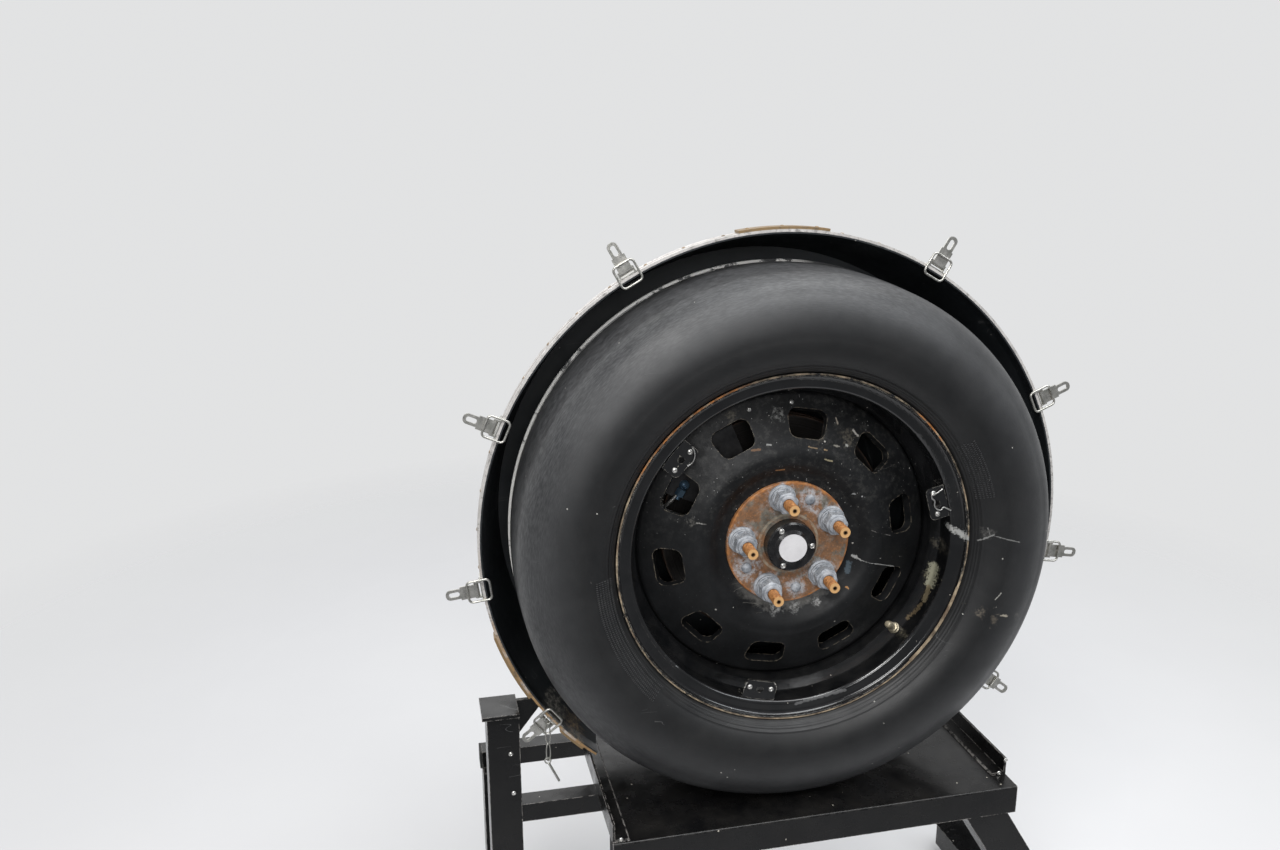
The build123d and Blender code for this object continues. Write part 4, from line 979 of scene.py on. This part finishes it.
def dash():
    """One short raised dash of the sidewall's hatching, pointing outwards."""
    bm = bmesh.new()
    bmesh.ops.create_cube(bm, size=1)
    bmesh.ops.scale(bm, vec=Vector(DASH) * MM, verts=bm.verts)
    for vert in bm.verts:
        if vert.co.y < 0:
            vert.co.x *= 0.72
            vert.co.z *= 0.45
    return mesh_of(bm, "dash")


def build_hatching():
    """Rows of hatching on the sidewall, in one arc on the left and one on the right."""
    rows = []
    for radius in HATCH_RADII:
        step = math.degrees(HATCH_PITCH / radius)
        y = wall_depth(radius) - 0.1
        for start, sweep in HATCH_ARCS:
            rows.append(ring_of(dash(), "hatch_rubber", int(sweep / step), radius, y, start, step))
    link("sidewall_hatching", joined("sidewall_hatching", rows), "hatch_rubber", "wheel")


# Nuts, studs, screws and rivets

# The cover brackets, and the circle and half spacing of their rivets
BRACKET_ANGLES = (139.4, 15.3, -102.0)
BRACKET_R = 184.4
BRACKET_HALF = 14.0


def nut_mesh():
    """A wheel nut: bore, round base with rings, grooved hexagon, and crown. Y points inboard."""
    profile = [(6.6, 0.0), (16.2, 0.0), (17.0, -0.8), (17.0, -3.4), (16.0, -4.4), (14.9, -4.9), (14.9, -6.0)]
    profile += [(15.4, -6.6), (15.4, -8.6), (14.4, -9.6), (14.4, -10.4)]
    hex_from = len(profile)
    profile += [(14.6, -10.9)]
    for ring in NUT_RINGS:
        profile += [(14.6, ring), (12.1, ring - 0.4), (12.1, ring - 0.7), (14.6, ring - 1.1)]
    profile += [(14.6, -22.5), (13.6, -24.2)]
    hex_to = len(profile) - 1
    profile += [(12.0, -25.2), (11.6, -26.6), (10.9, -28.4), (9.8, -29.0), (7.6, -29.0), (6.6, -28.0)]
    return lathe(profile, 72, "nut", hexed(25.4, hex_from, hex_to))


def thread_mesh(radius, length, pitch, depth):
    """A sleeve of thread ridges about Y, from y = 0 outboard."""
    profile = [(radius - 0.8, 0.0), (radius - 0.1, 0.0)]
    for i in range(int(length / pitch)):
        y = -i * pitch
        profile += [(radius, y - 0.2 * pitch), (radius + depth, y - 0.5 * pitch), (radius, y - 0.8 * pitch)]
    profile += [(radius - 0.1, -length), (radius - 0.8, -length)]
    return lathe(profile, 28, "thread")


def dome_mesh(radius, height, socket=0.0):
    """A domed head about Y, standing outboard, with a round socket if it has one."""
    profile = [(0.0, 0.0), (radius, 0.0)]
    for turn in (0, 0.35, 0.7, 1.0, 1.3):
        profile.append((radius * math.cos(turn), -height * (0.25 + 0.75 * math.sin(turn))))
    if socket:
        top = -height * 0.98
        profile = [point for point in profile if point[0] > socket * 1.15 or point[1] == 0.0]
        profile += [(socket * 1.12, top), (socket, top + 0.15), (socket * 0.92, top * 0.35), (0.0, top * 0.3)]
    else:
        profile.append((0.0, -height))
    return lathe(profile, 24, "dome")


def build_fasteners():
    """Nuts, stud threads and the heads of bolts, screws and rivets on the wheel."""
    nuts = ring_of(nut_mesh(), "nut_zinc", 5, STUD_CIRCLE, PLATE_Y, STUD_START, STUD_STEP)
    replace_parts(link("wheel_nuts", nuts, "nut_zinc", "wheel", 30), "lug_nuts")
    thread = thread_mesh(6.35, 21.0, 1.5, 0.32)
    threads = ring_of(thread, "stud_brass", 5, STUD_CIRCLE, 6.4, STUD_START, STUD_STEP)
    link("stud_threads", threads, "stud_brass", "wheel", 50)
    heads = parts_at(dome_mesh(6.5, 5.0), "nut_zinc", STUD_CIRCLE, PLATE_Y, BOLT_ANGLES)
    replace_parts(link("plate_bolt_heads", heads, "nut_zinc", "wheel"), "plate_bolts")
    screws = parts_at(dome_mesh(3.7, 2.0, 1.7), "bright_steel", 25.6, 20.0, (0.0, 123.0, 245.0))
    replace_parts(link("cap_screw_heads", screws, "bright_steel", "wheel"), "cap_screws")
    half = math.degrees(math.atan2(BRACKET_HALF, BRACKET_R))
    angles = [turn + side for turn in BRACKET_ANGLES for side in (-half, half)]
    radius = math.hypot(BRACKET_R, BRACKET_HALF)
    rivets = parts_at(dome_mesh(3.4, 2.0, 1.1), "bright_steel", radius, 10.0, angles)
    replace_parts(link("bracket_rivet_heads", rivets, "bright_steel", "wheel"), "bracket_rivets")
    leaning = moved(dome_mesh(3.0, 1.8, 1.0), Matrix.Rotation(math.radians(25.2), 4, "Z"))
    disc = parts_at(leaning, "bright_steel", 174.0, 55.2, (88.6, 106.2))
    link("disc_rivets", disc, "bright_steel", "wheel")


def build_valve():
    """The valve: rubber-seated collar, hexagon, threaded stem and knurled cap."""
    profile = [(0.0, -0.2), (7.0, -0.2), (7.4, -1.2), (7.0, -2.6), (6.2, -3.0)]
    hex_from = len(profile)
    profile += [(6.6, -3.4), (6.6, -6.4)]
    cut = hexed(11.8, hex_from, hex_from + 1)
    profile += [(5.6, -7.0), (4.1, -7.4), (4.1, -9.0)]
    for thread in (-9.3, -10.3, -11.3):
        profile += [(3.8, thread), (4.1, thread - 0.5)]
    profile += [(3.8, -12.3), (4.6, -12.8)]
    knurled = (len(profile), len(profile) + 1)
    profile += [(4.9, -13.4), (4.9, -22.0), (4.2, -24.4), (3.4, -25.2), (3.4, -26.6), (0.0, -27.0)]

    def shape(turn, radius, index):
        return cut(turn, radius, index) + (0.22 * math.cos(24 * turn) if index in knurled else 0.0)

    # The seat on the barrel's slope, and the slope's lean
    seat = Matrix.Translation(Vector((195.15, 39.4, 0)) * MM)
    lean = Matrix.Rotation(math.atan2(9.3, 13.2) - math.pi / 2, 4, "Z")
    around = Matrix.Translation(AXLE) @ Matrix.Rotation(math.radians(41.0), 4, "Y")
    mesh = moved(lathe(profile, 96, "valve_stem", shape), around @ seat @ lean)
    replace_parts(link("valve_stem", mesh, "valve_brass", "wheel"), "valve")


def build_bracket_wires():
    """The bright spring wire on the right bracket and the short wire end on the upper left one."""
    spring = ((196, 17), (187, 13), (181, 15), (180, 9), (184, 5), (181, -1))
    spring += ((184, -7), (189, -10), (192, -6), (196, -9), (201, -14))
    spring = [(*point, 7.4) for point in spring]
    tail = ((186, -20, 9.0), (181, -18, 7.8), (176, -12, 7.4), (174, -5, 7.8), (176, 1, 8.6))
    wires = []
    # Each wire's points are (outwards, across, y) on its bracket
    for angle, path, radius in ((BRACKET_ANGLES[1], spring, 0.9), (BRACKET_ANGLES[0], tail, 0.7)):
        c, s = math.cos(math.radians(angle)), math.sin(math.radians(angle))
        points = [at(out * c - across * s, y, out * s + across * c) for out, across, y in path]
        wires.append(wire("bracket_wire", points, radius))
    link("bracket_wires", joined("bracket_wires", wires), "bright_steel", "wheel", 60)


# Brake

FITTING_ANGLE = 151.0


def sector_mesh(name, r_in, r_out, y, thick, turn_from, turn_to):
    """A part of a ring with slightly eased corners."""
    ease = 0.6
    steps = 24
    end = y + thick
    profile = [(r_in + ease, y), (r_out - ease, y), (r_out, y + ease), (r_out, end - ease)]
    profile += [(r_out - ease, end), (r_in + ease, end), (r_in, end - ease), (r_in, y + ease)]
    bm = bmesh.new()
    rows = []
    for i in range(steps + 1):
        turn = turn_from + (turn_to - turn_from) * i / steps
        rows.append([bm.verts.new(polar(radius, turn, depth)) for radius, depth in profile])
    skin(bm, rows)
    bm.faces.new(rows[0])
    bm.faces.new(rows[-1])
    return mesh_of(bm, name)


def build_brake():
    """Pads, bridge bolts, and the hard line from the caliper's blue fitting to the tub's back."""
    linings = [sector_mesh("pad", 108, 146, y, 2.6, 118, 154) for y in (97.0, 126.4)]
    link("pad_linings", joined("pad_linings", linings), "pad_lining", "root")
    plates = [sector_mesh("plate", 106, 147, y, 2.0, 116, 156) for y in (95.0, 129.0)]
    link("pad_plates", joined("pad_plates", plates), "bare_steel", "root")
    bolts = parts_at(dome_mesh(6.0, 4.0, 2.6), "bare_steel", 164.0, 80.0, (119.0, 130.0, 142.0, 153.0))
    link("bridge_bolts", bolts, "bare_steel", "root")
    fitting = parts_at(dome_mesh(6.6, 6.0, 2.2), "fitting_blue", 140.0, 80.0, (FITTING_ANGLE,))
    nose = [(0.0, 0.0), (6.4, 0.0), (6.4, -9.0), (5.0, -9.6), (3.4, -9.6), (3.4, -14.0), (0.0, -14.0)]
    lay = Matrix.Rotation(math.radians(-FITTING_ANGLE - 90.0), 4, "Y") @ Matrix.Rotation(math.pi / 2, 4, "Z")
    place = Matrix.Translation(polar(141.0, FITTING_ANGLE + 2.0, 75.5))
    union = moved(lathe(nose, 36, "union", hexed(11.0, 1, 2)), place @ lay)
    link("line_fitting", joined("line_fitting", [fitting, union]), "fitting_blue", "root")
    route = ((144, 156, 75.5), (148, 161, 76), (154, 165, 82), (157, 166, 104))
    route += ((157, 166.5, 140), (156, 167, 176), (154, 168, 200), (154, 168, 213))
    line = wire("hard_line", [polar(*point) for point in route], 2.4)
    link("hard_line", line, "bright_steel", "root", 60)
    grommet = [(2.2, 0.0), (7.0, 0.0), (7.6, -0.8), (7.6, -2.6), (6.4, -3.4), (2.2, -3.4)]
    seal = parts_at(lathe(grommet, 28, "grommet"), "foot_rubber", 154.0, 212.0, (168.0,))
    link("line_grommet", seal, "foot_rubber", "root")


# Tub and latches

# Rivets along the edge strip, the doublers on it as (from, to), and the rivets on those
STRIP_RIVETS = tuple(-48.5 + 7.5 * i for i in range(38))
DOUBLERS = ((82.0, 99.0), (198.0, 212.5), (222.0, 228.0))
DOUBLER_RIVETS = (84, 90.5, 97, 200, 205, 210.5, 223.5, 226.5)
STRIP_Y = TUB_FRONT + 12.0


def outward_head(radius, height):
    """A rivet head that stands out along the ring's own X."""
    return moved(dome_mesh(radius, height), Matrix.Rotation(math.pi / 2, 4, "Z"))


def on_bare_strip(angle):
    """Whether a place on the edge strip is clear of the latches and the doublers."""
    near_latch = any(abs((angle - turn + 180) % 360 - 180) < 3.4 for turn in LATCH_ANGLES)
    return not near_latch and not any(low - 1.5 < angle < high + 1.5 for low, high in DOUBLERS)


def build_tub_rivets():
    """Rivets along the edge strip, on the latch plates, and bolts on the collar."""
    angles = [angle for angle in STRIP_RIVETS if on_bare_strip(angle)]
    strip = [
        parts_at(outward_head(2.4, 1.1), "edge_aluminium", EDGE_R - 0.1, STRIP_Y, angles),
        parts_at(outward_head(2.4, 1.1), "edge_aluminium", EDGE_R + 3.4, STRIP_Y, DOUBLER_RIVETS),
    ]
    link("strip_rivets", joined("strip_rivets", strip), "edge_aluminium", "root")
    half = math.degrees(8.0 / EDGE_R)
    pairs = [angle + side for angle in LATCH_ANGLES for side in (-half, half)]
    plates = parts_at(outward_head(2.2, 1.2), "bright_steel", EDGE_R + 1.5, TUB_FRONT + 17.0, pairs)
    link("latch_rivets", plates, "bright_steel", "root")
    section = [(0.0, 0.0), (8.0, 0.0), (8.0, 1.4), (7.2, 1.6), (7.2, 6.6), (6.4, 7.4), (0.0, 7.4)]
    bolts = ring_of(lathe(section, 36, "bolt", hexed(13.0, 3, 4)), "bright_steel", 6, 66.0, 220.0, 30.0, 60.0)
    link("collar_bolts", bolts, "bright_steel", "root")


def build_pin_chain():
    """A locking pin on a short chain at the lower left latch."""
    top = at(-299.5, 77.0, -232.7)

    def down(x, y, z):
        return top + Vector((x, y, z)) * MM

    def circle(radius, x, z):
        turns = [math.tau * i / 12 for i in range(12)]
        return [down(x + radius * math.cos(t), 0.0, z + radius * math.sin(t)) for t in turns]

    meshes = [wire("chain_ring", circle(4.5, 0.0, -4.5), 0.8, True)]
    # Each link's centre, length, half width and twist
    for centre, length, half, twist in ((-24.0, 30.0, 3.6, -0.9), (-50.0, 26.0, 3.4, 0.9)):
        path = []
        for t in [math.tau * i / 16 for i in range(16)]:
            y = 0.3 * half * math.cos(2 * t) + twist * math.sin(t)
            path.append(down(0.8 * half * math.sin(t), y, centre + length / 2 * math.cos(t)))
        meshes.append(wire("chain_link", path, 0.85, True))
    meshes.append(wire("pin_eye", circle(4.0, -1.0, -62.0), 0.9, True))
    meshes.append(wire("pin_shank", [down(0, 0, -65.5), down(6, 0, -78), down(13, 0, -93)], 1.6))
    link("pin_chain", joined("pin_chain", meshes), "latch_steel", "root", 60)


# Stand

# The stand's own frame has the wheel's origin and is turned about Z. Its heights, the front post's middle
# and half width, and the ends of a leg's foot along X are in millimetres.
STAND_TURN = Matrix.Rotation(math.radians(2.8), 4, "Z")
FLOOR_Z = -738.5
RUNNER_TOP = FLOOR_Z + 14 + 50
TRAY_UNDER = -338
POST_X = -354
POST_HALF = 20
LEG_FOOT = (420, 478)
# One drop's half sizes in a weld bead, and the step from drop to drop
WELD_DROP = (2.0, 1.9, 1.9)
WELD_STEP = 1.9


def stand_at(x, y, z):
    """A point of the stand's own square frame, in metres in the row frame."""
    return AXLE + (STAND_TURN @ Vector((x, y, z))) * MM


def weld_drop():
    """One flattened drop of a weld bead."""
    bm = bmesh.new()
    bmesh.ops.create_icosphere(bm, subdivisions=1, radius=1)
    bmesh.ops.scale(bm, vec=Vector(WELD_DROP) * MM, verts=bm.verts)
    return mesh_of(bm, "drop")


def weld(corners):
    """A bead along a line of corners of the stand's frame."""
    beads = []
    for a, b in zip(corners, corners[1:]):
        start, end = stand_at(*a), stand_at(*b)
        row = {"start": start, "end": end, "turn": (0, 0, 0.3)}
        row["count"] = max(2, int((end - start).length / (WELD_STEP * MM)))
        beads.append(grown(ROW_TREE, weld_drop(), "stand_black", **row))
    return beads


def build_welds():
    """Beads about the posts and legs on the runners, and where the tray's bearers and rails meet it."""
    lines = []
    for y in (85.0, 212.0):
        square = ((-1, -1), (1, -1), (1, 1), (-1, 1), (-1, -1))
        lines.append([(POST_X + dx * POST_HALF, y + dy * POST_HALF, RUNNER_TOP) for dx, dy in square])
    near, far = LEG_FOOT
    for y in (-9.0, 207.0):
        lines.append([(near, y - 25, RUNNER_TOP), (far, y - 25, RUNNER_TOP), (far, y + 25, RUNNER_TOP)])
    lines.append([(-334, 65, -354), (-334, 105, -354)])
    for start, end in (((-236, -33), (-216, -33)), ((-216, -30), (-216, 232)), ((284, -4), (284, 232))):
        lines.append([(*start, TRAY_UNDER), (*end, TRAY_UNDER)])
    beads = [bead for line in lines for bead in weld(line)]
    link("weld_beads", joined("weld_beads", beads), "stand_black", "root", 60)


def build_stand_bolts():
    """Small bright bolts at the ends of the tray's side angles and on the front post."""
    head = dome_mesh(3.0, 1.8, 1.2)
    places = ((-226, -33.0, -335.5), (302.4, -7.0, -318.0), (294, -7.0, -335.8))
    places += ((-346, 65.0, -262.0), (-344, 65.0, -318.0))
    meshes = [moved(head.copy(), Matrix.Translation(stand_at(*place)) @ STAND_TURN) for place in places]
    link("stand_bolts", joined("stand_bolts", meshes), "bright_steel", "root")


# Stage, lamps and camera

# Each lamp's name, place, aim, size, power and colour
LAMPS = (
    ("key", (-1.4, -2.2, 3.1), (0, 0, 0.8), (1.2, 0.8), 47, (1.0, 0.99, 0.98)),
    ("front", (-0.8, -3.0, 1.75), (0, 0, 0.8), (1.6, 0.5), 27, (1.0, 0.995, 0.99)),
    ("top", (0.75, -0.85, 3.8), (0, 0, 0.7), (2.6, 1.5), 67, (0.98, 0.99, 1.0)),
    ("right", (2.3, -1.7, 2.9), (0.1, 0, 0.7), (0.8, 1.6), 20, (0.92, 0.96, 1.0)),
    ("back", (-0.8, 2.9, 2.6), (0, 0, 0.7), (2.4, 1.4), 12, (1.0, 1.0, 1.0)),
)
# The photograph's camera, fitted to the rim, the tyre and the tray: its focal length and the picture's
# width in pixels, its yaw, pitch and roll, and its place in the wheel's frame
FOCAL_LENGTH = 1050.0
PICTURE_WIDTH = 1280.0
SENSOR = 36.0
YAW, PITCH, ROLL = 0.1715, -0.2523, -0.003
EYE = (-387.83, -1133.37, 464.73)


def build_stage():
    """A pale floor that fades into a pale backdrop behind it, in a room that is darker in front."""
    bm = bmesh.new()
    bmesh.ops.create_circle(bm, cap_ends=True, segments=96, radius=6.0)
    floor = shown("floor", mesh_of(bm, "floor"))
    f = Finish("floor_pale", Roughness=0.9, Specular_IOR_Level=0.1)
    f.feed(f.shader["Base Color"], f.blend(f.noise(3.0), (0.7, 0.7, 0.71), (0.74, 0.74, 0.745)))
    f.feed(f.shader["Alpha"], f.fit(f.vector("DISTANCE", f.place(), (0.0, 0.9, 0.0)), 1.0, 2.1, 1.0, 0.0))
    floor.data.materials.append(f.material)
    world = bpy.data.worlds.new("studio")
    world.use_nodes = True
    bpy.context.scene.world = world
    n = Nodes(world.node_tree)
    light = world.node_tree.nodes["Background"]
    _, y, z = n.split(n.add("ShaderNodeTexCoord"))
    room = n.blend(n.fit(z, 0.1, 0.8), (0.2, 0.206, 0.216), (0.44, 0.45, 0.465))
    n.feed(light.inputs["Color"], n.blend(n.fit(y, -0.1, 0.3), room, (0.76, 0.765, 0.77)))
    light.inputs["Strength"].default_value = 1.0


def build_lamps():
    """Soft area lamps."""
    for name, place, aim, size, power, colour in LAMPS:
        data = bpy.data.lights.new(name, "AREA")
        data.shape = "RECTANGLE"
        data.size, data.size_y = size
        data.energy = power
        data.color = colour
        lamp = shown(name, data)
        lamp.location = place
        lamp.rotation_euler = (Vector(aim) - Vector(place)).to_track_quat("-Z", "Y").to_euler()


def build_camera():
    ahead = Vector((math.sin(YAW) * math.cos(PITCH), math.cos(YAW) * math.cos(PITCH), math.sin(PITCH)))
    right = Vector((math.cos(YAW), -math.sin(YAW), 0))
    up = right.cross(ahead)
    rolled_right = right * math.cos(ROLL) + up * math.sin(ROLL)
    rolled_up = up * math.cos(ROLL) - right * math.sin(ROLL)
    data = bpy.data.cameras.new("camera")
    data.sensor_width = SENSOR
    data.sensor_fit = "HORIZONTAL"
    data.lens = FOCAL_LENGTH / PICTURE_WIDTH * SENSOR
    camera = shown("camera", data)
    axes = Matrix((rolled_right, rolled_up, -ahead)).transposed().to_4x4()
    camera.matrix_world = Matrix.Translation(at(*EYE)) @ axes
    bpy.context.scene.camera = camera


paint_cad_nodes()
build_tyre()
build_hatching()
build_fasteners()
build_valve()
build_bracket_wires()
build_brake()
build_tub_rivets()
build_pin_chain()
build_welds()
build_stand_bolts()
build_stage()
build_lamps()
build_camera()
bpy.context.scene.view_settings.view_transform = "Standard"
